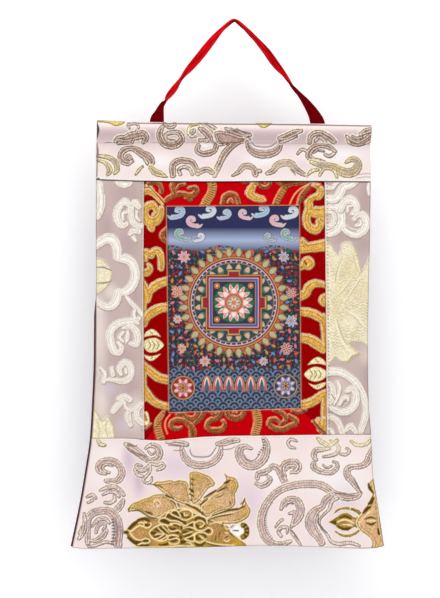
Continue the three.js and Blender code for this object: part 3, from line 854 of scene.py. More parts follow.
# Red frame
# Four strips of red and gold brocade, mitred at the corners. The inner edges are folded under and
# topstitched to the picture with dark red thread, the outer edges lie under the ivory brocade.
FRAME_THICK = 1.3
FOLD_WIDTH = 5.0
FOLD_LIFT = 0.6
FOLD_SHOULDER = 1.6
LAP = 0.8  # how far a folded edge lies over its neighbour, and a tucked one under it
TUCK = 0.4
MITRE_GAP = 0.04
LAP_DEPTH = 0.75  # how much of a lapped edge's thickness is cut away behind, so that it clears what it covers
RIM_WIDTH = 0.9  # the rounding of a folded or free edge: its width and how far back it goes
RIM_DEPTH = 0.55
PUCKER_START = 2
# Painted shade along tucked, butted and free edges, where neighbours and turned edges shade the cloth, and a
# painted highlight along a folded edge:
UNDER_HEM_SHADE = (0.95, 3.2)  # how strong a shade or crest is along an edge, and how far in it begins
TUCK_SHADE = (0.45, 2.6)
BUTT_SHADE = (0.7, 1.1)
FREE_SHADE = (0.6, 1.4)
FOLD_CREST_HIGHLIGHT = (0.75, 1.5)


def corner(seam, edge, near):
    """The point where a seam meets an edge, from a height near it."""
    return (float(seam(near)), float(edge(seam(near))))


FRAME_TOP_LEFT = corner(left_seam, heading_hem, 178)
FRAME_TOP_RIGHT = corner(right_seam, heading_hem, 178)
FRAME_BOTTOM_LEFT = corner(left_seam, bottom_seam, 461)
FRAME_BOTTOM_RIGHT = corner(right_seam, bottom_seam, 457)


def brocade_material(name, sparkle, gloss, specular):
    """Satin ground with raised figure threads: dye, weave, glinting floats and a soft sheen."""
    material, tree, shader = new_material(name)
    height, shade, glint = place_threads(tree, warp=0.45, weft=0.45, float_length=5.0)
    dye, figure, gold = dye_socket(tree), mask_socket(tree, "figure"), mask_socket(tree, "gold")
    swing = math_node(tree, "MULTIPLY", math_node(tree, "SUBTRACT", glint, 0.5), figure)
    plain = math_node(tree, "MULTIPLY_ADD", shade, 0.1, 0.945)
    factor = math_node(tree, "MULTIPLY_ADD", swing, sparkle, plain)
    tint = tree.nodes.new("ShaderNodeCombineColor")
    for socket in tint.inputs:
        tree.links.new(factor, socket)
    tree.links.new(mix_colour(tree, 1.0, dye, tint.outputs[0], "MULTIPLY"), shader.inputs["Base Color"])
    tree.links.new(math_node(tree, "MULTIPLY_ADD", figure, 0.1, gloss), shader.inputs["Roughness"])
    tree.links.new(math_node(tree, "MULTIPLY", gold, 0.4), shader.inputs["Metallic"])
    tree.links.new(dye, shader.inputs["Specular Tint"])
    set_inputs(shader, {"Specular IOR Level": specular})
    raised = math_node(tree, "MULTIPLY_ADD", swing, 3.0, height)
    bump(tree, shader, raised, strength=0.4, distance=0.00014)
    return material


def front_rows(x, y, z, fine):
    """The front points of a closed sheet by row and column."""
    count = (fine[0] + 1) * (fine[1] + 1)
    return np.column_stack((x, y, z))[:count].reshape(fine[1] + 1, fine[0] + 1, 3)


def beside(front, side, cells):
    """The line of front points that runs beside an edge, some cells in from it."""
    return {
        "left": front[:, cells],
        "right": front[:, -1 - cells],
        "top": front[-1 - cells],
        "bottom": front[cells],
    }[side]


def hang_panel(name, edges, thick, fine, coarse, material, pattern, crest_highlight, shade):
    """Brocade panel between four edges. Its folded edges lap over the neighbours with a soft thick rim
    and a painted highlight along the fold, butted ones meet them, free ones end the scroll and the
    rest are tucked under; butted, free and tucked edges get a line of painted shade. Gives the piece
    and its front points by row and column."""
    reach = {"folded": LAP, "tucked": TUCK, "butted": -MITRE_GAP, "free": 0.0}
    way = {side: kind for kind in ("folded", "butted", "free") for side in edges.get(kind, ())}
    way = {side: way.get(side, "tucked") for side in OUTWARD}
    cut = {side: moved(edges[side], OUTWARD[side] * reach[way[side]]) for side in way}
    mesh, u, v, in_front = cut_cloth(name, fine, coarse)
    x, down = panel_spot(cut, u, v)
    away = {
        "left": (x - cut["left"](down), down),
        "right": (cut["right"](down) - x, down),
        "top": (down - cut["top"](x), x),
        "bottom": (cut["bottom"](x) - down, x),
    }
    cloth = pattern(x, down)
    lift = cloth.height.copy()
    rounding = np.zeros(len(x))
    lapped = np.zeros(len(x), bool)
    for side, (far, along) in away.items():
        # painted highlight along a folded edge, painted shade along the other edges
        amount, begin = {
            "folded": FOLD_CREST_HIGHLIGHT,
            "free": FREE_SHADE,
            "butted": BUTT_SHADE,
            "tucked": UNDER_HEM_SHADE if side == "top" else TUCK_SHADE,
        }[way[side]]
        tint = crest_highlight if way[side] == "folded" else shade
        cloth.cover(cloth.everywhere, amount * np.clip(begin - far, 0, 1), tint, 0.0)
        if way[side] == "folded":
            lapped |= far < 0.05
        if way[side] in ("folded", "free"):
            fold = FOLD_LIFT * smooth(FOLD_SHOULDER - far / FOLD_WIDTH)
            lift += fold + pucker(along, far) * smooth(far / PUCKER_START)
            rounding = np.maximum(rounding, np.clip(1 - far / RIM_WIDTH, 0, 1) ** 2)
    front_y = CLOTH_BACK - thick - lift * (1 - rounding) + RIM_DEPTH * rounding
    back_y = np.where(lapped, CLOTH_BACK - thick + LAP_DEPTH, CLOTH_BACK)
    y = np.where(in_front, front_y, back_y) - drape(x, down)
    masks = (("figure", cloth.figure), ("gold", cloth.gold))
    piece = finish_cloth(mesh, (x, y, -down), x, -down, material, cloth.dye, masks)
    return piece, front_rows(x, y, -down, fine)


STITCH_PITCH = 3.9
STITCH_LONG = 2.7
STITCH_IN = 3  # cells between an edge and its line of stitches


def thread_material(name, colour):
    """Cotton sewing thread with a faint ply."""
    material, tree, shader = new_material(name)
    place = tree.nodes.new("ShaderNodeTexCoord")
    ply = tree.nodes.new("ShaderNodeTexNoise")
    ply.inputs["Scale"].default_value = 2500.0
    tree.links.new(place.outputs["Object"], ply.inputs["Vector"])
    darker = paint(*(part * 0.75 for part in colour))
    tree.links.new(mix_colour(tree, ply.outputs[0], paint(*colour), darker), shader.inputs["Base Color"])
    set_inputs(shader, {"Roughness": 0.6})
    return material


def sew(name, lines, material, thick=0.62):
    """Stitches of even length along lines of surface points, each a slim bead half sunk in the cloth."""
    bm = bmesh.new()
    for line in lines:
        steps = np.concatenate(([0], np.cumsum(np.linalg.norm(np.diff(line, axis=0), axis=1))))
        for k in range(1, int(steps[-1] / STITCH_PITCH)):
            near = [
                Vector([np.interp(k * STITCH_PITCH + step, steps, line[:, axis]) for axis in range(3)])
                for step in (-1, 1)
            ]
            centre = (near[0] + near[1]) / 2
            turn = (near[1] - near[0]).to_track_quat("Z", "Y").to_matrix().to_4x4()
            shape = Matrix.Diagonal((thick * MM, thick * MM, STITCH_LONG * MM, 1))
            matrix = Matrix.Translation(centre * MM) @ turn @ shape
            bmesh.ops.create_uvsphere(bm, u_segments=6, v_segments=5, radius=0.5, matrix=matrix)
    mesh = mesh_from(bm, name)
    mesh.shade_smooth()
    mesh.materials.append(material)
    piece = add_object(name, mesh)
    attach(piece, "root")


RED_GROUND = (152, 0, 4)
BRIGHT_RED = (197, 0, 12)
# Painted highlight along the frame's folded edges and painted shade along its other edges
RED_CREST_HIGHLIGHT = (236, 158, 122)
RED_SHADE = (60, 0, 2)
GILT = {
    "halo": (0.6, (112, 0, 6)), "edge": (1.0, (248, 214, 162)), "fill": (234, 190, 92),
    "veins": ((2.4, 0.7, (176, 118, 42)),),
    "gold": 0.5, "height": 0.45, "uneven": 0.45, "patchy": (220, 166, 84),
    "painted_light_rims": ((255, 236, 190), (120, 66, 20)),
}
BUD = {
    "halo": (0.7, (110, 0, 6)), "edge": (0.9, (252, 222, 170)), "fill": (244, 232, 186),
    "gold": 0.2,
}
BRONZE = {
    "halo": (0.7, (104, 0, 6)), "edge": (0.75, (242, 166, 120)), "fill": (92, 32, 10),
    "veins": ((2.2, 0.7, (184, 114, 58)),),
    "gold": 0.15, "uneven": 0.5, "patchy": (138, 74, 32),
    "painted_light_rims": ((250, 194, 140), (84, 22, 8)),
}
BUD_VEIN = (122, 110, 72)
BUD_HEART = (190, 120, 40)
KNOT_RED = (120, 20, 10)
COPPER_LINE = (238, 176, 120)
COPPER_STEM = (240, 176, 118)
LOW_STEM = (240, 164, 118)
STEM_BAR = (214, 150, 84)
ROPE_BAR = (224, 164, 96)
LOW_ROPE_BAR = (224, 160, 96)


def bud_veins(cloth, columns, top, bottom):
    """Bent veins side by side across a bud."""
    for x in columns:
        cloth.lines(BUD_VEIN, (((x, top, 0.7), (x + 2.6, top + 4.8, 1.1), (x, bottom, 0.7)),))


def draw_frame_left(cloth):
    """Gold scrolls and a bud down the left strip, with the bottom strip's curls at its end."""
    cloth.motif(GILT, (
        ((-100, 193, 5), (-94, 190.5, 7), (-88.5, 193.5, 5.5), (-84, 198.5, 4), (-78, 205, 3)),
        ((-96, 185.5, 2.5), (-89, 183.5, 3.5), (-83, 187.5, 3.5), (-82, 195, 3.5), (-78, 199.5, 5),
         (-71, 200, 5)),
    ))
    cloth.motif(GILT, (
        ((-88.5, 217, 2.5), (-85, 211.5, 5.5), (-89.5, 206, 8), (-96, 209, 8), (-97.5, 217, 9),
         (-93, 223.5, 11), (-85.5, 223, 10), (-80.5, 217, 8), (-79.5, 210, 6)),
        ((-90.5, 228, 9), (-90, 231.5, 7)), ((-100, 217, 6), (-99, 224, 5)),
    ))
    cloth.motif(BRONZE, (((-73, 231.5, 4), (-78.5, 237, 4.5), (-77, 243.5, 4.5), (-72, 246.5, 4)),))
    cloth.motif(GILT, (
        ((-101, 257, 6), (-95.5, 257.5, 7), (-91, 261, 7), (-87.5, 256.5, 7), (-82.5, 257, 8),
         (-79.5, 264, 7), (-79.5, 275, 6)),
        ((-101, 262, 9), (-96, 266, 4)),
        ((-101, 279.5, 7), (-95, 279.5, 8), (-91.5, 275, 6), (-94, 270.5, 3)),
        ((-101, 257, 5), (-101, 283, 5)),
    ))
    cloth.motif(GILT, (
        ((-100, 287, 3), (-97.5, 296, 8), (-95, 306, 10)),
        ((-95, 309, 8), (-92, 300, 8), (-86, 294, 9), (-79, 290.5, 9), (-73, 289, 9)),
        ((-98, 300, 6), (-98.5, 318, 6), (-98, 334, 6)),
    ))
    cloth.motif(GILT, (
        ((-98, 336, 6), (-95, 328, 8), (-88, 322, 10), (-80, 318.5, 9), (-72, 317.5, 9)),
    ))
    cloth.motif(BUD, (), (
        ((-100, 350), (-100, 350), (-96, 344), (-90.5, 341), (-85, 343.5), (-80, 349.5), (-80, 349.5),
         (-86, 347.5), (-92, 348)),
        ((-100, 357), (-95, 352), (-87, 350.5), (-81, 353.5), (-77, 358.5), (-81, 363), (-87, 366),
         (-95, 365)),
        ((-100, 368), (-100, 368), (-93, 370.5), (-87, 370), (-80, 367.5), (-80, 367.5), (-85, 372.5),
         (-91, 375.5), (-96, 373)),
    ))
    bud_veins(cloth, (-94, -89.5, -85), 353.6, 363)
    cloth.lines(BUD_VEIN, (((-92, 343.5, 0.7), (-89, 346, 1)), ((-91, 373, 0.7), (-89, 371.6, 1))))
    cloth.motif(GILT, (
        ((-101, 378, 6), (-95.5, 384, 8), (-89, 389.5, 9), (-82, 394.5, 9), (-73, 396.5, 9)),
        ((-98.5, 384, 6), (-98.5, 404, 6), (-98, 418, 5)),
        ((-98, 405, 6), (-94, 413, 9), (-88, 420, 8), (-80.5, 424, 7), (-72, 426, 7)),
    ))
    cloth.motif(BUD, (), (
        ((-100, 433), (-95.5, 431), (-93, 437), (-93, 443), (-96.5, 446), (-100, 444)),
    ))
    cloth.lines(BUD_HEART, (((-97.5, 434, 2), (-96, 440, 3)),))
    cloth.motif(BRONZE, (((-100, 452, 1.8), (-95, 449, 2), (-91, 445, 1.8)),))
    draw_frame_bottom(cloth)


def draw_frame_right(cloth):
    """Gold scrolls, a knot and a bud down the right strip, with the bottom strip's curls at its end."""
    cloth.motif(GILT, (
        ((86.5, 187.5, 2), (90, 185.5, 5), (94.5, 190, 8), (92.5, 196, 7.5), (86.5, 197.5, 6),
         (81.5, 202, 8), (82, 210, 9), (79, 220, 8), (81.5, 229, 9), (89, 233, 9), (93.5, 228.5, 8),
         (92, 223, 5)),
        ((84, 212, 9), (90.5, 214, 12), (102, 214, 13)), ((94, 221, 6), (101, 226, 4)),
    ))
    cloth.motif(GILT, (
        ((69, 254, 11), (79, 252.5, 10), (88, 251.5, 11), (103, 249, 12)), ((74, 245, 6), (78, 250, 8)),
    ))
    cloth.motif(GILT, (((70, 276, 4), (77, 271, 8)),), (
        ((80, 262), (86.5, 266), (87, 272), (82, 276.5), (75, 274), (73.5, 267)),
    ))
    cloth.lines(KNOT_RED, (((76, 266, 1), (78.5, 270, 2.2)),))
    cloth.motif(GILT, (
        ((103, 295, 6), (96, 292.5, 6), (88, 291.5, 8), (81.5, 295.5, 9), (78.5, 302, 9), (71, 306, 9)),
        ((103, 304, 4), (96.5, 306.5, 5), (97, 312, 7), (103, 315, 5)),
    ))
    cloth.motif(GILT, (
        ((70, 322, 8), (80, 323, 9), (89, 326, 9), (96, 331, 8)),
        ((97, 328, 7), (98.5, 345, 6), (99.5, 362, 5)),
        ((70, 351, 9), (80, 352, 10), (89, 356.5, 11), (97, 363, 9)),
    ))
    cloth.motif(BUD, (), (
        ((80, 380), (80, 380), (85, 374.5), (91, 371.5), (97, 374), (102, 381), (102, 381), (95, 379),
         (88, 378.5)),
        ((76.5, 390.5), (81, 385), (88, 382), (95, 383.5), (102, 389), (96, 396), (88, 398),
         (81, 395.5)),
        ((81, 400), (81, 400), (88, 402), (95, 400), (102, 398), (102, 398), (97, 404), (91, 406.5),
         (86, 404.5)),
    ))
    bud_veins(cloth, (82.5, 87, 92), 385.4, 395)
    cloth.lines(BUD_VEIN, (((89, 374, 0.7), (92, 377, 1)), ((90, 404.6, 0.7), (92, 402.6, 1))))
    cloth.motif(GILT, (
        ((103, 409, 6), (96, 413, 8), (89, 418.5, 9), (81, 422.5, 9), (70, 425, 9)),
        ((98.5, 414, 6), (98.5, 436, 6), (98, 458, 7)), ((92, 441, 6), (95, 450, 8)),
    ))
    draw_frame_bottom(cloth)


def draw_frame_top(cloth):
    """Bronze curls and a twisted cord along the top strip, with gold ends at its corners."""
    cloth.motif(GILT, (
        ((-98, 187, 6), (-94, 187.5, 8), (-89.5, 190, 5)),
        ((-98, 205, 8), (-93, 202, 9), (-90, 204, 7)),
    ))
    cloth.lines(COPPER_LINE, (((-93, 187, 1.2), (-84, 193, 1.6), (-76, 202, 1.4)),))
    cloth.motif(BRONZE, (
        ((-94, 182.5, 3), (-88.5, 181, 4), (-83, 182.5, 4.5), (-79.5, 187, 4.5), (-79, 192, 3.5)),
    ))
    cloth.motif(BRONZE, (
        ((-75, 201, 4), (-70, 197.5, 5), (-63, 194.5, 5), (-57, 193.5, 5), (-50.5, 195.5, 5.5),
         (-44, 194.5, 6), (-41, 190, 5.5), (-43.5, 186.8, 4), (-49, 187.6, 3)),
        ((-65.5, 191, 4.5), (-67, 184.5, 5), (-63.5, 180, 4.5), (-57.5, 179, 4)),
        ((-62, 187, 2.5), (-59, 183.5, 3), (-54, 183.5, 2.5)), ((-52, 197, 5), (-47.5, 199.5, 4)),
    ))
    rope = ((-28, 176, 8), (-23.6, 184, 8.5), (-24.8, 193, 8.5), (-29.5, 201, 8.5), (-33, 208, 8))
    cloth.rope(BRONZE, rope, ROPE_BAR, 2.4)
    cloth.motif(BRONZE, (
        ((-12.6, 204, 4), (-10.5, 196.5, 4.5), (-4, 193.4, 4.5), (2.4, 196.5, 4.5), (5, 204, 4)),
        ((-6.5, 203, 2), (-4, 199.5, 2.5), (-1, 203, 2)), ((2, 177, 2), (10, 180.6, 2.4), (18, 180, 2)),
    ))
    cloth.motif(GILT, (((23, 178, 4), (20, 184, 5)),), (
        ((18, 184), (24, 184.5), (22, 191), (25, 194.5), (32, 197), (35, 201.5), (27, 202.5), (17, 199),
         (12.5, 193), (14.5, 187.5)),
    ))
    cloth.motif(BRONZE, (
        ((27, 177, 3), (27.4, 183.6, 3.4), (33.5, 186.6, 3.6), (39, 183, 3.4), (38.4, 177, 3)),
        ((31, 179, 1.6), (34, 181.6, 2)),
    ))
    cloth.motif(
        BRONZE,
        (((45, 206, 6), (49, 197, 6.5), (54, 189, 6.5), (57, 185, 5)),),
        (
            ((42, 175), (56, 176), (72, 177.4), (85, 179), (85, 181.6), (74, 183), (62, 185),
             (53, 185.5), (46, 181)),
        ),
    )
    cloth.ticks(STEM_BAR, ((46, 204, 5), (50, 196, 5), (55, 188, 5)), 3.0, 0.4)
    cloth.lines(COPPER_STEM, (((60, 206, 1.2), (65, 195, 1.5), (73, 187, 1.5), (84, 181.5, 1.2)),))
    cloth.motif(BRONZE, (((71, 206, 5), (73.5, 196.5, 5), (79, 189, 5), (85, 182.5, 4.5)),))
    cloth.motif(GILT, (
        ((87, 184, 4), (92, 186, 6), (94.5, 191, 7), (91, 196, 7.5), (86, 197.5, 7), (82, 203, 9)),
    ))


def draw_frame_bottom(cloth):
    """Bronze curls between two twisted cords along the bottom strip."""
    left_rope = ((-77.5, 433, 4.5), (-82.5, 441, 6.5), (-83.2, 449, 7), (-80, 460, 7.5))
    cloth.rope(BRONZE, left_rope, LOW_ROPE_BAR, 2.6)
    cloth.motif(BRONZE, (
        ((-58, 448.6, 2.6), (-62, 450.2, 4), (-67.5, 448.4, 5), (-68, 443.6, 5.2), (-63, 440.4, 5),
         (-56, 440.8, 5), (-50, 444.4, 6), (-45.6, 450, 7), (-45, 457, 7.5)),
        ((-62, 434, 3), (-56, 433.8, 4), (-51.5, 437.6, 4.4), (-45, 438.6, 5), (-40.6, 434.8, 5),
         (-40, 429, 5)),
        ((-41.5, 442.5, 4.5), (-36.5, 438, 5.4), (-33.5, 433, 5.4), (-32.5, 428, 5)),
    ))
    cloth.motif(BRONZE, (
        ((-14, 430, 4), (-15.6, 436, 4.6), (-21, 439.2, 4.6), (-26.6, 441, 4.8), (-29.4, 446, 5),
         (-27, 450.6, 5), (-19.6, 451.8, 6), (-12.6, 450, 5), (-10, 445, 4), (-12, 441.2, 3)),
        ((-26, 431, 2.6), (-22, 434, 3.2), (-18, 432.6, 2.6)),
    ))
    cloth.motif(BRONZE, (
        ((-8.4, 430, 4), (-5.4, 436.4, 5.4), (1.6, 438.4, 6), (8.6, 436.2, 5.6), (11.4, 429, 4)),
        ((-1, 431.6, 2.4), (3, 432.6, 2.4)),
    ))
    rope = ((23.4, 427, 8.5), (25.6, 436.6, 8.5), (26, 444, 8.5), (23.4, 454, 8.5), (22.6, 460, 8.5))
    cloth.rope(BRONZE, rope, LOW_ROPE_BAR, 2.4)
    cloth.motif(BRONZE, (
        ((43.8, 429.5, 3.4), (50.8, 432, 4.4), (55.8, 437, 5), (55.4, 441.6, 4.6), (51, 444.4, 3.4)),
        ((59.8, 435.4, 3.4), (67.6, 441, 5), (67, 444.8, 5), (60.6, 447, 5), (54, 450.4, 5.4),
         (44, 449.6, 5.4), (38.4, 444.8, 4.8), (40, 440, 4.4), (45.4, 439.6, 3.6), (49, 442.4, 2.6)),
    ))
    cloth.motif(BRONZE, (((63.5, 430, 3), (70.5, 432, 4), (77.5, 429.4, 4)),))
    cloth.lines(LOW_STEM, (((-70, 434, 1.2), (-74.6, 440, 1.5), (-75.6, 447, 1.5), (-73, 455, 1.2)),))
    cloth.motif(GILT, (((98, 440, 6), (98, 458, 7)), ((92, 441, 5), (94.5, 450, 8))))
    cloth.motif(BRONZE, (
        ((86, 442, 2), (91, 447, 3), (98, 455, 3)), ((-100, 452, 1.8), (-95, 449, 2), (-91, 445, 1.8)),
    ))


def woven(draw, ground):
    """A pattern for hang_panel from a drawing and its ground colour."""

    def pattern(x, down):
        cloth = Dyer(x, down, ground)
        draw(cloth)
        return cloth

    return pattern


STRIP_PATTERN = {
    "top": woven(draw_frame_top, BRIGHT_RED),
    "bottom": woven(draw_frame_bottom, BRIGHT_RED),
    "left": woven(draw_frame_left, RED_GROUND),
    "right": woven(draw_frame_right, RED_GROUND),
}
red_brocade = brocade_material("red_brocade", 0.6, 0.5, 0.1)
frame_strips = {
    "top": {
        "left": straight_x(FRAME_TOP_LEFT, PICTURE_TOP_LEFT),
        "right": straight_x(FRAME_TOP_RIGHT, PICTURE_TOP_RIGHT),
        "top": heading_hem,
        "bottom": window_edges["top"],
        "folded": ("bottom",),
        "butted": ("left", "right"),
    },
    "bottom": {
        "left": straight_x(FRAME_BOTTOM_LEFT, PICTURE_BOTTOM_LEFT),
        "right": straight_x(FRAME_BOTTOM_RIGHT, PICTURE_BOTTOM_RIGHT),
        "top": window_edges["bottom"],
        "bottom": bottom_seam,
        "folded": ("top",),
        "butted": ("left", "right"),
    },
    "left": {
        "left": left_seam,
        "right": window_edges["left"],
        "top": straight_down(FRAME_TOP_LEFT, PICTURE_TOP_LEFT),
        "bottom": straight_down(FRAME_BOTTOM_LEFT, PICTURE_BOTTOM_LEFT),
        "folded": ("right",),
        "butted": ("top", "bottom"),
    },
    "right": {
        "left": window_edges["right"],
        "right": right_seam,
        "top": straight_down(FRAME_TOP_RIGHT, PICTURE_TOP_RIGHT),
        "bottom": straight_down(FRAME_BOTTOM_RIGHT, PICTURE_BOTTOM_RIGHT),
        "folded": ("left",),
        "butted": ("top", "bottom"),
    },
}
STRIP_FLAT = {  # width, length and area of each strip in metres
    "top": (0.1995, 0.030, 0.00483),
    "bottom": (0.2015, 0.034, 0.00520),
    "left": (0.030, 0.285, 0.00706),
    "right": (0.031, 0.281, 0.00731),
}
frame_seams = []
for side, edges in frame_strips.items():
    fine, coarse = ((300, 50), (40, 6)) if side in ("top", "bottom") else ((46, 430), (6, 56))
    strip, front = hang_panel(
        "frame_cloth_" + side, edges, FRAME_THICK, fine, coarse, red_brocade, STRIP_PATTERN[side],
        RED_CREST_HIGHLIGHT, RED_SHADE,
    )
    frame_seams.append(beside(front, edges["folded"][0], STITCH_IN))
    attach(strip, "root")
    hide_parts("frame_" + side)
    width, length, area = STRIP_FLAT[side]
sew("frame_stitches", frame_seams, thread_material("dark_red_thread", (104, 4, 14)))

# Side panels
# Two long strips of the ivory brocade turned a quarter round; their mauve ground is painted shade
# for how its satin reflects when turned. Their inner edges are folded and topstitched over the red
# frame, the ends run under the heading and the bottom panel, and the outer edges are turned onto
# the lining.
SIDE_THICK = 1.6
SIDE_FLAT = {"left": (0.0575, 0.0148), "right": (0.0505, 0.0136)}  # width and area in metres
# The ivory brocade's ground as it looks turned a quarter round: painted shade in its colour
TURNED_GROUND_SHADE = (204, 182, 177)
# Painted highlight along the side panels' folded edges and painted shade along their other edges
MAUVE_CREST_HIGHLIGHT = (252, 240, 226)
MAUVE_SHADE = (92, 66, 54)
WHITE = {
    "halo": (0.6, (186, 162, 152)), "edge": (0.8, (238, 224, 206)), "fill": (254, 250, 242),
    "veins": ((2.4, 0.9, (220, 202, 184)),),
    "figure": 0.6, "uneven": 0.4, "patchy": (246, 238, 226),
    "painted_light_rims": ((255, 255, 248), (160, 132, 116)),
}
PALE_GOLD = {
    "halo": (0.5, (206, 190, 172)), "edge": (0.8, (208, 192, 150)), "fill": (240, 228, 192),
    "gold": 0.2, "uneven": 0.6, "patchy": (248, 240, 212),
    "painted_light_rims": ((255, 250, 226), (176, 152, 108)),
}
# Painted shade in soft dips and hollows of the side panels, and painted sheen where they turn to the light
MAUVE_DIP_SHADE = (184, 160, 158)
MAUVE_PAINTED_SHEEN = (242, 228, 220)
MAUVE_LILAC_SHEEN = (214, 204, 216)
MAUVE_HOLLOW_SHADE = (180, 156, 152)
MAUVE_WARM_SHEEN = (238, 222, 204)
LEFT_HOLE = (146, 124, 112)
RIGHT_HOLE = (128, 108, 96)
STEM_LINE = (206, 194, 188)
BUD_LINE = (150, 128, 122)
PALE_LINE = (226, 214, 206)
STRAW_LINE = (214, 200, 160)
SCROLL_LINE = (176, 158, 156)
WHITE_LINE = (246, 242, 236)
LOOP_LINE = (170, 152, 148)
PETAL_LIGHT = (252, 246, 218)
PETAL_DARK = (196, 176, 130)
PETAL_RIB = (204, 184, 140)
PETAL_PALE = (246, 236, 206)
PETAL_WARM = (232, 216, 170)


def draw_left(cloth):
    """White scrolls, a bud and a leaf on the left strip; painted shade in soft dips of the cloth,
    painted sheen, and the needle holes.
    """
    # painted shade in the dips, then painted sheen
    cloth.paint_light_and_shade(MAUVE_DIP_SHADE, (
        (-118, 195, 22, 40), (-116, 250, 18, 30), (-140, 230, 12, 24), (-108, 305, 14, 30),
        (-122, 372, 22, 16), (-112, 408, 14, 24),
    ), 0.6)
    cloth.paint_light_and_shade(MAUVE_PAINTED_SHEEN, (
        (-148, 345, 14, 70), (-146, 420, 14, 40), (-108, 432, 16, 30), (-134, 300, 12, 14),
        (-148, 316, 10, 12),
    ), 0.75)
    cloth.paint_light_and_shade(MAUVE_LILAC_SHEEN, ((-136, 406, 10, 12), (-120, 446, 14, 12)), 0.6)
    cloth.ticks(LEFT_HOLE, ((-100.6, 180, 1.1), (-100.4, 330, 1.1), (-100.6, 452, 1.1)), 3.9, 0.3)
    cloth.motif(WHITE, (((-149, 177, 7), (-146, 190, 9), (-145, 205, 10), (-149, 218, 8)),))
    cloth.lines(STEM_LINE, (((-143.5, 178, 1), (-142.5, 192, 1.3), (-143, 208, 1)),))
    cloth.motif(WHITE, (), (((-129, 179), (-113, 179), (-112, 184), (-120, 187.5), (-128, 184)),))
    cloth.motif(WHITE, (
        ((-124, 206, 6), (-119, 202.5, 8), (-113, 206, 6), (-108, 203.5, 7), (-104, 208, 6)),
        ((-123, 205, 7), (-127, 212, 8), (-127.5, 221, 8), (-123, 228, 7.5), (-117.5, 227, 5)),
        ((-117, 214, 3), (-121.5, 215, 3.5), (-121, 222, 3)),
        ((-112.5, 207, 7), (-112.5, 217, 7), (-110, 225, 7), (-104, 229.5, 6), (-100, 229, 5)),
        ((-106, 213, 3), (-106.5, 219, 3.5), (-103, 223, 2.5)),
        ((-113.5, 238, 3.5), (-110, 234, 6), (-104, 235, 6)), ((-110, 241, 4.5), (-107.5, 245, 3.5)),
    ))
    cloth.motif(WHITE, (
        ((-152, 251, 9), (-144.5, 245.5, 10), (-137, 242.5, 11), (-130.5, 246, 11), (-127.5, 254, 10),
         (-127, 263, 9)),
        ((-127, 264.5, 6), (-120, 264.5, 10), (-113, 267.5, 10), (-108.5, 275, 10), (-107.5, 284, 10),
         (-110.5, 293, 10), (-117, 300, 9), (-126, 301.5, 6)),
        ((-126, 301.5, 8), (-127.5, 309, 9), (-132.5, 315.5, 9), (-141, 316.5, 8), (-151, 310, 7)),
        ((-118, 305, 3), (-112, 313, 5), (-104, 321, 5), (-99, 327, 4)),
    ))
    cloth.motif(PALE_GOLD, (), (
        ((-152, 266), (-144, 265.5), (-137.5, 271), (-134, 277), (-133, 282), (-134.5, 287.5),
         (-138, 293.5), (-144, 299.5), (-152, 300)),
    ))
    cloth.lines(BUD_LINE, (
        ((-151, 273.6, 1), (-143, 273.4, 1.6), (-134, 277, 1)),
        ((-151, 290.6, 1), (-141, 290.4, 1.6), (-134.5, 288.6, 1)),
    ))
    cloth.motif(WHITE, (
        ((-104, 330, 5), (-112, 333, 8), (-122, 334, 8), (-131, 338.5, 8), (-135, 347, 8.5),
         (-134, 357, 9), (-131, 365, 8), (-125.5, 367, 6.5), (-122.5, 362, 5.5), (-126, 356, 3.5)),
        ((-121, 340, 4), (-112, 338.5, 7), (-106.5, 344.5, 8), (-105, 352, 8), (-107.5, 358, 7),
         (-113, 357, 4)),
        ((-121, 345, 3), (-125, 350, 3.5), (-121, 355, 3)),
        ((-116, 343, 3), (-116, 350, 5), (-118, 356, 2)),
        ((-108, 320, 3), (-109, 327, 4), (-105, 335, 4)),
    ))
    cloth.motif(WHITE, (
        ((-123, 391, 3.5), (-125, 384.5, 6), (-120, 378, 7), (-113.5, 381, 7.5), (-112, 389.5, 7.5),
         (-116, 396.5, 7), (-124, 398.5, 6), (-132, 396.5, 5), (-140, 396, 4)),
        ((-118.5, 384, 3), (-117.5, 389, 3.5)), ((-133.5, 384, 4), (-132, 391, 5.5)),
        ((-145, 384, 3), (-140.5, 390, 4.5), (-142, 399, 4)),
    ))
    cloth.lines(PALE_LINE, (
        ((-150, 384, 1.4), (-147, 389, 2), (-149.5, 395, 1.4)), ((-151, 401, 1), (-146, 403, 1.4)),
    ))
    cloth.motif(WHITE, (
        ((-125, 417, 6), (-119, 415, 6), (-114, 418.5, 6)),
        ((-131.5, 431, 6), (-127, 425, 7), (-122, 420, 6)),
        ((-119.5, 421, 3), (-117.5, 427.5, 4), (-111, 430.5, 3)),
        ((-114.5, 430, 5), (-115.5, 438, 6.5), (-113, 446, 5)),
        ((-100.5, 423, 5), (-106, 430, 7), (-105.5, 438, 7), (-100.5, 444, 6)),
    ))
    cloth.motif(PALE_GOLD, (), (
        ((-156, 428), (-149, 433), (-144, 441), (-138.5, 436), (-133.5, 443), (-131, 452), (-133, 463),
         (-158, 463)),
    ))
    cloth.lines(STRAW_LINE, (
        ((-150, 440, 1), (-147, 450, 1.4), (-148, 458, 1)),
        ((-139, 441, 1), (-140, 450, 1.4), (-138, 458, 1)),
    ))


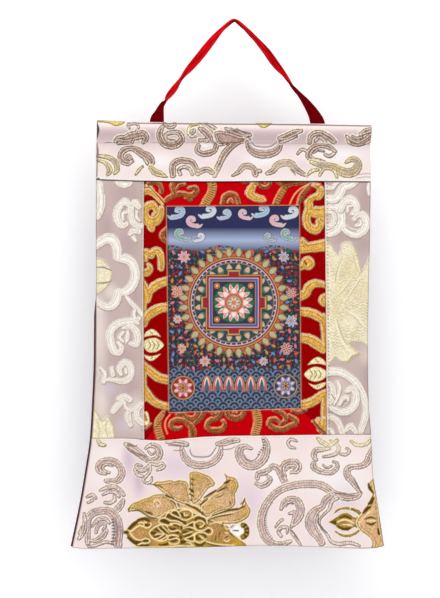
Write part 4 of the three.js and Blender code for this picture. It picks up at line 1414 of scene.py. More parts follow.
def draw_right(cloth):
    """White scrolls above and below a large pale gold lotus that the right edge cuts off."""
    # painted shade in hollows of the cloth, then painted sheen
    cloth.paint_light_and_shade(MAUVE_HOLLOW_SHADE, (
        (143, 200, 12, 40), (118, 240, 16, 14), (140, 248, 16, 18), (105, 390, 14, 16),
        (146, 400, 12, 60), (118, 440, 20, 20),
    ), 0.6)
    cloth.paint_light_and_shade(MAUVE_WARM_SHEEN, ((112, 410, 20, 24), (145, 370, 14, 16), (106, 222, 10, 10)), 0.6)
    cloth.motif(WHITE, (
        ((134, 178, 8), (127, 183.5, 9), (119.5, 186, 9), (116, 193, 9), (111, 199, 9), (101, 200, 9)),
        ((100, 187, 5), (107, 187.5, 4), (112, 182, 4), (118, 177.5, 4)),
    ))
    cloth.motif(WHITE, (
        ((101, 237.5, 8), (111, 234, 9), (117, 225, 9), (116.5, 214, 9), (110, 208, 8),
         (100.5, 208.5, 7)),
        ((101, 230.5, 5), (107.5, 228, 5), (110, 221, 5), (107.5, 214.5, 5), (101, 213, 4)),
    ))
    cloth.motif(WHITE, (
        ((116.5, 211, 7), (120, 203, 8), (126.5, 200, 9), (133, 205, 8), (133.5, 212, 7),
         (129, 215.5, 4)),
        ((124, 213, 3), (124, 207.5, 3.5), (128, 207, 3)),
        ((120, 231, 8), (126, 235.5, 9), (134, 237.5, 9), (141.5, 233, 9), (144.5, 225, 9),
         (141, 217.5, 8), (134.5, 217, 6), (131.5, 221.5, 4.5)),
        ((134, 228.5, 3), (138, 227, 3.5), (138, 222.5, 3)),
    ))
    cloth.lines(SCROLL_LINE, (
        ((121, 239, 1), (130, 243.5, 1.4), (138, 242.6, 1)),
        ((101, 203.6, 1), (110, 204, 1.4), (116, 199.6, 1)),
        ((122, 229, 1), (127, 233, 1.4), (133, 234, 1)),
    ))
    cloth.lines(WHITE_LINE, (((147, 181, 2.4), (146, 187, 3.2), (147, 194, 2.4)),))
    cloth.motif(PALE_GOLD, (), (
        ((96, 243), (101, 245), (107, 251), (113, 260), (116.5, 255), (118.5, 247), (127, 247),
         (132.5, 255), (136, 267), (139, 279), (139, 279), (143, 273), (152, 262), (152, 359),
         (141, 356.5), (134, 355), (127, 356), (130, 362), (137, 367.5), (137, 367.5), (129, 371),
         (124, 376), (117, 376.5), (110, 371.5), (105, 377), (96, 381)),
    ))
    cloth.lines(PETAL_LIGHT, (
        ((112, 286, 1), (114.5, 274, 1.8), (119.5, 263, 1.6), (118, 252, 1)),
        ((114, 302, 1), (121, 294, 1.8), (128, 285, 1.2)),
        ((138, 283, 1.2), (129, 298, 2), (122, 311, 2), (115, 320, 1.2)),
        ((110, 330, 1.2), (114, 345, 2.2), (119.5, 357, 2.2), (127, 366, 1.2)),
        ((121, 320, 1), (132, 325, 2), (141, 336, 2), (148, 341, 1.2)),
        ((100, 260, 1), (104, 275, 1.6), (103, 290, 1)),
        ((102, 305, 1), (106, 318, 1.6), (103, 332, 1)),
        ((101, 345, 1), (105, 357, 1.6), (103, 368, 1)),
    ))
    cloth.lines(PETAL_DARK, (
        ((114, 304, 0.8), (120.5, 297, 1), (127, 288, 0.8)),
        ((137, 287, 0.8), (127.5, 302, 1), (120, 314, 0.8)),
        ((112, 331, 0.8), (116.5, 345, 1.1), (122, 357, 0.8)),
        ((122, 323, 0.8), (131, 328, 1), (139, 338, 0.8)),
        ((110, 290, 0.8), (112.5, 276, 1), (117.5, 264, 0.8)),
        ((136, 358, 0.8), (129, 358.6, 1.2), (124, 355, 0.8)),
        ((137, 369, 0.8), (129, 373, 1.4), (124, 378.4, 1.2), (116, 378.6, 0.8)),
        ((130, 262, 0.8), (132.5, 272, 1), (137, 281, 0.8)),
    ))
    cloth.grain(PETAL_RIB, (
        (112, 270, 18), (128, 290, 18), (108, 320, 18), (136, 320, 18), (118, 350, 16), (140, 345, 14),
        (104, 365, 12), (126, 258, 12),
    ), 0.55, 4.2)
    cloth.blush(PETAL_PALE, (
        (112, 262, 16), (124, 254, 10), (106, 370, 10), (145, 350, 10), (130, 330, 12),
    ), 0.6)
    cloth.blush(PETAL_WARM, ((125, 275, 14), (116, 300, 12), (142, 300, 12), (108, 320, 12)), 0.6)
    cloth.motif(WHITE, (
        ((97, 389, 9), (111, 387.5, 9), (122.5, 391.5, 8), (132.5, 399.5, 8), (139.5, 410.5, 7.5),
         (143.5, 423, 7), (143.5, 436, 7), (140.5, 447, 6.5), (136, 458, 6)),
    ))
    cloth.motif(WHITE, (
        ((101, 398, 3), (107.5, 405, 6), (108, 415, 6.5), (102, 424, 5)),
        ((113, 399, 3), (115.5, 407, 4), (112, 417, 4), (109, 423, 3)),
        ((106, 427, 5.5), (116, 432, 7), (126, 430, 8), (132.5, 422, 8.5), (133, 412, 7.5),
         (128.5, 406, 6), (123.5, 409, 4.5)),
        ((115, 424, 3), (119, 417, 4.5), (124, 416, 3.5), (124, 421, 3)),
        ((99, 437, 5), (109.5, 439, 6.5), (115.5, 446, 6.5), (119, 458, 6)),
        ((101, 449, 3), (107, 453, 4), (109, 459, 3)),
        ((122, 451, 5), (127.5, 447.5, 6.5), (133, 454, 5)),
    ))
    cloth.lines(LOOP_LINE, (
        ((117, 425, 1), (121, 419.5, 1.6), (124.5, 421, 1)), ((106, 412, 1), (110, 418, 1.4)),
        ((101, 429, 1), (108, 433, 1.4), (116, 436.5, 1), (127, 436, 1)),
    ))
    cloth.ticks(RIGHT_HOLE, ((101.5, 180, 1.2), (102.2, 300, 1.2), (103.8, 452, 1.2)), 3.9, 0.32)


SIDE_PATTERN = {"left": woven(draw_left, TURNED_GROUND_SHADE), "right": woven(draw_right, TURNED_GROUND_SHADE)}
# the ivory brocade turned on its side, its darker ground painted shade
mauve_brocade = brocade_material("mauve_brocade", 0.3, 0.42, 0.4)
side_panels = {
    "left": {"left": left_edge, "right": left_seam, "free": ("left",), "folded": ("right",)},
    "right": {"left": right_seam, "right": right_edge, "free": ("right",), "folded": ("left",)},
}
cream_thread = thread_material("cream_thread", (252, 244, 226))
for side, edges in side_panels.items():
    edges = {**edges, "top": heading_hem, "bottom": bottom_seam}
    panel, front = hang_panel(
        side + "_side_cloth", edges, SIDE_THICK, (88, 430), (9, 44), mauve_brocade, SIDE_PATTERN[side],
        MAUVE_CREST_HIGHLIGHT, MAUVE_SHADE,
    )
    seam = beside(front, edges["folded"][0], STITCH_IN - 1)
    sew(side + "_side_stitches", (seam,), cream_thread)
    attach(panel, "root")
    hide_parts(side + "_panel")
    width, area = SIDE_FLAT[side]

# Bottom panel
# Ivory brocade with a large gold lotus, cut wider at the hem. Its top edge is folded and topstitched
# over the frame and the side panels; the hem is turned up and curls forward.
BOTTOM_THICK = 1.9
TAUPE = {
    "halo": (1.1, (255, 248, 240)), "edge": (0.9, (108, 80, 70)), "fill": (188, 156, 144),
    "veins": ((1.7, 0.8, (242, 224, 210)), (2.8, 1.0, (124, 94, 82))),
    "grow": 0.4, "uneven": 0.4, "patchy": (212, 186, 168),
    "painted_light_rims": ((250, 236, 204), (76, 54, 46)),
}
PALE = {
    "halo": (1.0, (255, 248, 240)), "edge": (0.8, (134, 104, 92)), "fill": (214, 182, 170),
    "veins": ((1.7, 0.8, (246, 232, 222)), (2.7, 0.9, (146, 118, 110))),
    "grow": 0.2, "uneven": 0.4, "patchy": (232, 210, 196),
    "painted_light_rims": ((250, 236, 206), (98, 72, 62)),
}
STRAW = {
    "halo": (0.9, (255, 248, 226)), "edge": (0.8, (128, 102, 60)), "fill": (216, 194, 146),
    "veins": ((1.7, 0.8, (246, 236, 200)), (2.8, 0.9, (150, 122, 84))),
    "grow": 0.3, "uneven": 0.4, "patchy": (196, 170, 142),
    "painted_light_rims": ((252, 240, 190), (98, 72, 38)),
}
TIP = {
    "halo": (0.8, (252, 246, 226)), "edge": (0.8, (150, 124, 50)), "fill": (222, 206, 124),
    "gold": 0.6,
    "painted_light_rims": ((250, 240, 176), (120, 96, 30)),
}
GOLD = {
    "halo": (1.0, (255, 244, 216)), "edge": (1.0, (146, 108, 48)), "fill": (228, 190, 132),
    "veins": ((2.0, 0.8, (252, 226, 168)), (3.2, 0.9, (170, 126, 66))),
    "gold": 0.8, "height": 0.5, "uneven": 0.35, "patchy": (220, 178, 132),
    "painted_light_rims": ((255, 236, 180), (104, 74, 22)),
}
OLIVE = {
    "halo": (1.0, (254, 240, 204)), "edge": (0.9, (104, 78, 20)), "fill": (158, 124, 52),
    "gold": 0.9, "height": 0.5, "uneven": 0.3, "patchy": (190, 152, 74),
    "painted_light_rims": ((250, 226, 150), (80, 58, 12)),
}
IVORY_GROUND = (248, 230, 227)
# Near white: painted highlight along folded edges and the heading's top edge, and a cream woven line in the
# heading; then the painted shade along the bottom panel's free edges
IVORY_CREAM_AND_HIGHLIGHT = (255, 252, 246)
IVORY_SHADE = (124, 94, 80)
# Painted sheen and painted shade of the bottom panel's folds
IVORY_PAINTED_SHEEN = (255, 252, 252)
IVORY_LILAC_SHADE = (228, 206, 220)
FOLD_LILAC_SHADE = (206, 180, 196)
GREY_BLUSH = (176, 158, 158)
LILAC_BLUSH = (184, 160, 166)
STRAW_BLUSH = (240, 226, 196)
HOOK_BAR = (112, 96, 96)
CURL_BAR = (96, 78, 76)
VINE_BAR = (138, 118, 118)
HOOK_LINE = (142, 124, 124)
CLOUD_LINE = (140, 120, 104)
BOWL_LINE = (150, 134, 130)
BOWL_LIGHT = (249, 241, 239)
CURL_LINE = (140, 120, 122)
VINE_LINE = (120, 102, 102)
SPRIG_LINE = (118, 100, 100)
ROOT_LINE = (104, 84, 84)
HEART_COPPER = (206, 158, 104)
HEART_GOLD = (216, 172, 62)
LOTUS_RIB = (160, 118, 64)
LOTUS_PEACH = (232, 190, 152)
LOTUS_GILT = (206, 166, 78)
SEED = (98, 70, 24)
LOTUS_DARK = (98, 70, 26)
LOTUS_CREAM = (252, 228, 172)
TIP_WHITE = (255, 255, 252)
TIP_DARK = (70, 62, 52)
FAN_BAR = (76, 54, 18)
SIDE_LOTUS_PEACH = (228, 178, 138)


def draw_left_scrolls(cloth):
    """Painted light and shade of the folds, and the scrolls and small clouds left of the lotus and above it.
    """
    # painted sheen, painted shade, and painted shade in a fold's trough
    cloth.paint_light_and_shade(IVORY_PAINTED_SHEEN, ((-140, 490, 26, 40), (110, 500, 60, 40), (40, 500, 26, 30)), 0.55)
    cloth.paint_light_and_shade(IVORY_LILAC_SHADE, (
        (-104, 496, 22, 40), (-60, 490, 60, 24), (14, 530, 30, 44), (-70, 560, 60, 40),
        (120, 540, 30, 40),
    ), 0.7)
    cloth.paint_light_and_shade(FOLD_LILAC_SHADE, ((-116, 482, 10, 26), (-104, 506, 9, 26)), 0.6)
    cloth.motif(STRAW, (((-149, 461, 3), (-146, 466, 4.5), (-141, 467, 3)),))
    cloth.motif(PALE, (
        ((-140, 498, 3.5), (-146.5, 495.5, 5.5), (-148, 490, 6.5), (-144.5, 485.5, 6.5),
         (-138, 483.8, 6.5), (-130.5, 485.5, 7), (-125, 490.5, 7), (-122.5, 497, 7.5),
         (-124.5, 503, 7.5), (-129, 506.5, 6.5), (-134.5, 506.5, 6), (-140, 505.5, 4)),
        ((-136, 497, 2.5), (-142, 494.5, 2.8), (-143, 490.5, 3), (-139, 487.8, 3), (-133, 489.5, 2.5)),
    ))
    cloth.motif(PALE, (
        ((-146, 516, 2.5), (-138, 513, 4.5), (-130, 512.5, 4.5), (-124.5, 516, 4.5),
         (-120.5, 521.5, 4)),
        ((-143, 521, 2.5), (-137, 518, 4), (-130, 518.5, 4), (-126, 523, 4)),
        ((-141, 529, 3), (-136, 530, 4), (-130.5, 527, 4), (-131, 522.5, 2.5)),
        ((-121, 527, 4), (-124, 533, 7), (-129, 538.5, 7)), ((-130, 541, 2.5), (-134, 536, 3)),
    ))
    cloth.motif(PALE, (
        ((-160, 523, 3), (-154.5, 520.5, 4), (-150.5, 524, 3.5)),
        ((-159, 529, 2.5), (-154, 526.5, 3.5)),
    ))
    cloth.motif(PALE, (
        ((-159, 572, 5), (-159, 560, 6.5), (-159, 548, 7.5), (-154.5, 541, 8), (-147, 538.5, 8),
         (-138, 538.5, 8), (-131.5, 543, 9), (-127, 551, 10), (-126, 561, 10), (-127, 570, 10),
         (-126.5, 576, 9)),
        ((-154, 554, 3), (-148, 547.5, 4.5), (-140.5, 547, 4.5), (-136, 552, 3)),
        ((-150, 561, 3.5), (-148, 554.5, 4.5), (-143, 552, 3.5), (-140.5, 555, 3.5),
         (-143, 558.5, 2.5)),
        ((-158, 569, 2.5), (-151, 570, 4.5), (-143.5, 566, 6.5), (-139.5, 560, 5)),
        ((-158, 576, 2.5), (-150, 575, 3.5), (-140, 572, 3.5), (-134, 573, 2.5)),
    ))
    cloth.blush(GREY_BLUSH, ((-158, 556, 12), (-127, 556, 12), (-144, 555, 6), (-150, 540, 8)), 0.6)
    cloth.ticks(HOOK_BAR, (
        (-133, 546, 3), (-131.5, 556, 4), (-131.5, 566, 4), (-132.5, 576, 4),
    ), 3.4, 0.5)
    cloth.lines(HOOK_LINE, (
        ((-129.5, 546, 1), (-127.5, 556, 1.4), (-127.5, 566, 1.4), (-128.5, 576, 1)),
    ))
    cloth.motif(PALE, (
        ((-163, 541, 3), (-162, 550, 5), (-163.5, 560, 5.5), (-168, 567, 4)),
        ((-165, 554, 2), (-167.5, 561, 3.5)),
    ))
    cloth.motif(PALE, (
        ((-118.5, 466, 4), (-113, 470, 8), (-106, 474.5, 8.5), (-99, 480, 7), (-92, 484, 6),
         (-85, 483, 6.5), (-81.5, 477.5, 7), (-82.5, 471.5, 7), (-87, 468, 6), (-92.5, 468, 4.5),
         (-96.5, 471, 3)),
        ((-94, 474, 2.5), (-90, 477.5, 2.5), (-86.5, 475, 2.5)),
    ))
    cloth.lines(CLOUD_LINE, (
        ((-116, 466.5, 1.4), (-109, 468.5, 1.6), (-106, 467.5, 1)),
        ((-112, 473.5, 1), (-104, 477, 1.6), (-96, 479.5, 1.2)),
        ((-117, 470, 1), (-111, 475, 1.2), (-103, 480, 1)),
    ))
    cloth.motif(PALE, (
        ((-91, 487.5, 3.5), (-95.5, 492, 4.5), (-100.5, 495, 4.5), (-106, 492.5, 4), (-106.5, 488.5, 3),
         (-101, 489.5, 2.5)),
        ((-108.5, 494, 3.5), (-106, 499, 4), (-100, 501, 3.5)),
        ((-90, 487.5, 3.5), (-84, 489, 3.5), (-79, 487, 3.5), (-76, 490, 3), (-79.5, 493, 3.5),
         (-84, 494.5, 3)),
        ((-91.5, 490, 3), (-92, 496, 3), (-95.5, 500.5, 3.5), (-99.5, 505, 3.5), (-95, 508.5, 3),
         (-90.5, 506, 3), (-90, 502, 2)),
    ))
    cloth.motif(PALE, (
        ((-57.5, 469, 4), (-55.5, 478, 7), (-50, 485.5, 8), (-42, 488.5, 8.5), (-32, 488.5, 8.5),
         (-22, 484.5, 8), (-16, 477.5, 7), (-14.5, 470, 4)),
        ((-74, 464, 3), (-62, 464.5, 6), (-52, 466.5, 5)),
        ((-19, 466, 4), (-12, 465, 7), (-4, 462.5, 7), (4, 462, 5)),
    ))
    cloth.lines(BOWL_LINE, (
        ((-48.5, 472, 1), (-46.5, 478, 1.3), (-41, 480, 1.4), (-30, 480, 1.4), (-25, 477.5, 1.4),
         (-20, 470, 1.2)),
        ((-66, 473.4, 1), (-56, 473, 1)), ((-14, 472.4, 1), (-4, 471.4, 1), (2, 468.4, 1)),
        ((-72, 467.5, 1), (-60, 468.6, 1.2), (-50, 469, 1)),
    ))
    cloth.lines(BOWL_LIGHT, (
        ((-49, 476, 1), (-46, 482, 1.3), (-38, 484, 1.3), (-28, 483, 1.3), (-20, 476, 1)),
    ))


def draw_right_scrolls(cloth):
    """The round vine with its curls, right of the lotus, and the scrolls above it."""
    u_curl = (
        (18.5, 471, 3), (12, 469, 5.5), (6.5, 471, 8), (5, 477, 9), (8, 484.5, 9), (14, 489, 9),
        (21, 490, 8.5), (28, 487, 8), (33, 481, 8), (35, 473, 8), (35, 466, 7), (32, 460, 5),
    )
    cloth.motif(PALE, (u_curl,))
    cloth.lines(CURL_LINE, (
        ((11, 478, 1), (13, 482, 1.4), (18, 484.4, 1.2), (23, 483, 1.2), (27.5, 477, 1.2)),
    ))
    cloth.ticks(CURL_BAR, ((26, 479, 2.5), (28.5, 474, 3), (32, 469, 3), (31.5, 460, 3)), 3.0, 0.45)
    cloth.motif(PALE, (
        ((38, 494, 5), (42, 490.5, 6), (47.5, 493, 6.5), (51, 500, 7), (55, 507, 7), (59, 512.5, 6)),
        ((39, 493, 4.5), (33, 497, 6), (26.5, 498.5, 6), (25, 503, 5)),
        ((24, 509, 4.5), (29, 511.5, 6), (35, 509.5, 6), (39, 504.5, 5), (36, 501, 3)),
        ((62, 497, 3.5), (68.5, 495, 6), (70.5, 489.5, 6), (66.5, 485.5, 6), (60, 485.5, 6),
         (54.5, 488, 6), (52, 494, 6), (54, 501, 6)),
        ((57, 494.5, 2), (60, 491.5, 2.5), (65, 491.5, 2.5)),
    ))
    vine = (
        (108, 520, 7), (101, 514.5, 8), (93, 510.5, 8), (82, 509.5, 8), (69, 510.5, 8), (58, 513, 7.5),
        (48, 517.5, 7.5), (40, 524.5, 7.5), (33.5, 534, 8), (29.5, 545, 8), (29.5, 557, 8),
        (33.5, 567, 8), (41, 573.5, 7), (51, 575, 6), (61, 571.5, 4),
    )
    cloth.motif(PALE, (
        vine, ((108, 520, 7), (116, 522.5, 8), (125, 524, 8), (133, 522.5, 7), (138, 519.5, 3)),
        ((138, 519.5, 3), (133, 513, 5), (128, 506, 7), (123, 499.5, 8), (124, 493, 7),
         (130, 490.8, 5.5), (138, 490, 6), (144, 486.5, 7), (147, 479.5, 7), (150, 472, 5)),
    ))
    cloth.ticks(VINE_BAR, (
        (42, 529, 1.6), (36, 538, 2.2), (34, 549, 2.2), (36, 560, 2.2), (41, 568, 1.6),
    ), 2.6, 0.5)
    cloth.lines(VINE_LINE, (
        ((130, 503, 1), (132, 507, 1.6), (135, 513, 1.8), (138, 519, 1.2)),
        ((104, 519, 0.8), (114, 519.8, 1.2), (130, 521.6, 0.8)),
    ))
    cloth.motif(PALE, (
        ((51, 537, 3.5), (53.5, 531, 6), (61, 526.5, 7.5), (69, 529, 8.5), (72, 537, 9), (70, 545.5, 9),
         (65, 552, 7)),
        ((45, 556, 2.5), (48, 551.5, 3), (52, 548.5, 3.5)),
        ((60, 541.5, 3), (66, 541, 5), (65, 549, 5), (62, 556, 3.5)),
        ((51, 566, 3.5), (48, 561, 4), (52, 556.5, 4), (57.5, 557, 3.5), (57, 563, 2.5)),
        ((62, 561, 3.5), (67, 568, 4), (72, 575.5, 2.5)),
    ))
    cloth.lines(SPRIG_LINE, (
        ((60, 558.5, 1), (65, 563.5, 1.5), (69, 570, 1)), ((56, 535, 1), (60, 531, 1), (64, 532, 0.8)),
        ((47, 561, 1), (51, 559, 1)),
    ))
    cloth.motif(PALE, (
        ((105, 522, 6), (99, 527, 7), (95.5, 534, 6), (89, 538, 8), (84, 545, 11), (83, 553, 12),
         (86, 560, 11), (91, 566, 8.5), (95, 573, 7.5)),
        ((113, 525, 3), (106, 529, 4), (103, 537, 3.5), (96, 544, 2.5), (92.5, 551, 2.5),
         (95.5, 558, 2.5), (101, 564.5, 3), (105, 571.5, 3.5), (114, 574.5, 4), (125, 573, 4),
         (136, 576, 2.5)),
    ))
    cloth.blush(LILAC_BLUSH, (
        (83, 553, 9), (98, 530, 6), (68, 538, 7), (120, 500, 6), (92, 488, 5), (6, 477, 6),
    ), 0.6)
    cloth.lines(ROOT_LINE, (((92, 543, 1), (91, 551, 1.6), (95, 557, 1.4), (101, 563, 1.2)),))
    cloth.motif(PALE, (
        ((104, 471, 2.5), (96, 472, 5), (89, 473, 6), (86.5, 478.5, 6), (89, 483, 4)),
        ((97, 480, 2.5), (104, 479, 3.5), (111, 476.5, 4), (114, 471, 4), (111, 465.5, 3.5),
         (105, 462.5, 3)),
        ((116, 477, 3), (122, 477.5, 3.5), (125.5, 473.5, 3), (122, 470.5, 2.5)),
        ((86.5, 487, 5), (86, 491, 6), (91, 494.5, 6), (98.5, 497, 5), (106, 497, 5), (111.5, 492.5, 5),
         (112, 487, 3.5), (108, 485.5, 2.5)),
        ((97, 489, 2.5), (101, 492, 2.5), (106, 490, 2.5)),
    ))
    cloth.motif(PALE, (
        ((66, 470.5, 2.5), (60.5, 469, 3.5), (58.5, 464.5, 3.5), (62, 461, 3.5), (68, 463, 2.5)),
    ))
    cloth.motif(STRAW, (
        ((91, 460, 3), (97, 465, 5), (104, 467.5, 4), (112, 462, 3)),
        ((127, 463, 2.5), (133, 467, 3.5), (142, 467, 3.5), (148, 462, 3)),
    ))
    cloth.blush(STRAW_BLUSH, ((100, 464, 14), (138, 464, 14), (110, 470, 10)), 0.6)


def draw_lotus(cloth):
    """The large lotus: five gold petals over an olive heart that the hem cuts off."""
    cloth.motif(GOLD, (), (
        ((-80, 520), (-64, 524), (-52, 520), (-40, 526), (-30, 530), (-26, 546), (-40, 552), (-64, 548),
         (-82, 548)),
    ))
    for patch in (
        ((-116, 540), (-116, 540), (-114, 534), (-110, 530.5), (-105, 528.6), (-99, 526), (-93, 524.4),
         (-88, 521.5), (-83, 521), (-77, 520.6), (-70, 524), (-64, 532), (-62, 540), (-72, 544),
         (-84, 548), (-91, 547), (-98, 543), (-103, 540), (-108, 539)),
        ((-89, 510), (-89, 510), (-84, 507), (-77, 507), (-71, 505.4), (-65, 507), (-60, 505.6),
         (-51, 508.5), (-48, 520), (-47, 531), (-56, 531), (-66, 527), (-76, 520)),
        ((-49, 498), (-49, 498), (-44, 496), (-38, 497), (-33, 499), (-27, 501.5), (-21.5, 508),
         (-23, 512), (-28, 514), (-37, 526), (-45, 531), (-48, 520)),
        ((-11, 498), (-11, 498), (-6, 501.5), (0, 503), (4.5, 509.5), (3, 516), (0.5, 521), (1, 530),
         (-4, 536), (-16, 539), (-28, 545), (-37, 541), (-36, 530), (-25, 520), (-14, 511.5),
         (-9, 505)),
        ((11, 524.5), (11, 524.5), (13, 530), (17.5, 538), (15, 545), (10, 549), (2, 552), (-12, 553),
         (-24, 557), (-32, 552), (-26, 545), (-14, 540), (-2, 537.5), (6, 535), (9, 530.5)),
    ):
        cloth.motif(GOLD, (), (patch,))
    cloth.motif(OLIVE, (), (
        ((-119, 562), (-119, 562), (-112, 554), (-104, 547.5), (-96, 545.5), (-84, 548), (-74, 541),
         (-66, 538), (-54, 537), (-42, 542.5), (-31, 547), (-18, 552), (-8, 555), (-4, 562), (3, 568),
         (13, 577), (-10, 579), (-40, 579), (-70, 579), (-100, 579), (-111, 573)),
    ))
    cloth.blush(HEART_COPPER, (
        (-104, 562, 12), (-86, 552, 7), (-22, 560, 13), (-8, 566, 8), (-85, 571, 8),
    ), 0.8)
    cloth.blush(HEART_GOLD, ((4, 572, 9), (-40, 578, 10), (-76, 577, 12), (-104, 576, 9)), 0.7)
    petals = (
        (-96, 532, 14), (-74, 530, 13), (-62, 514, 12), (-38, 508, 13), (-14, 522, 14), (-6, 514, 12),
        (4, 540, 12), (-14, 545, 11), (-52, 522, 10), (-20, 562, 9),
    )
    cloth.grain(LOTUS_RIB, petals, 0.45, 2.4)
    cloth.blush(LOTUS_PEACH, (
        (-85, 531, 12), (-12, 526, 12), (-62, 518, 8), (-8, 545, 10), (-34, 520, 8),
    ), 0.55)
    cloth.blush(LOTUS_GILT, (
        (-104, 531, 10), (-92, 526, 8), (-2, 510, 8), (-40, 502, 10), (-26, 534, 8), (10, 540, 7),
    ), 0.55)


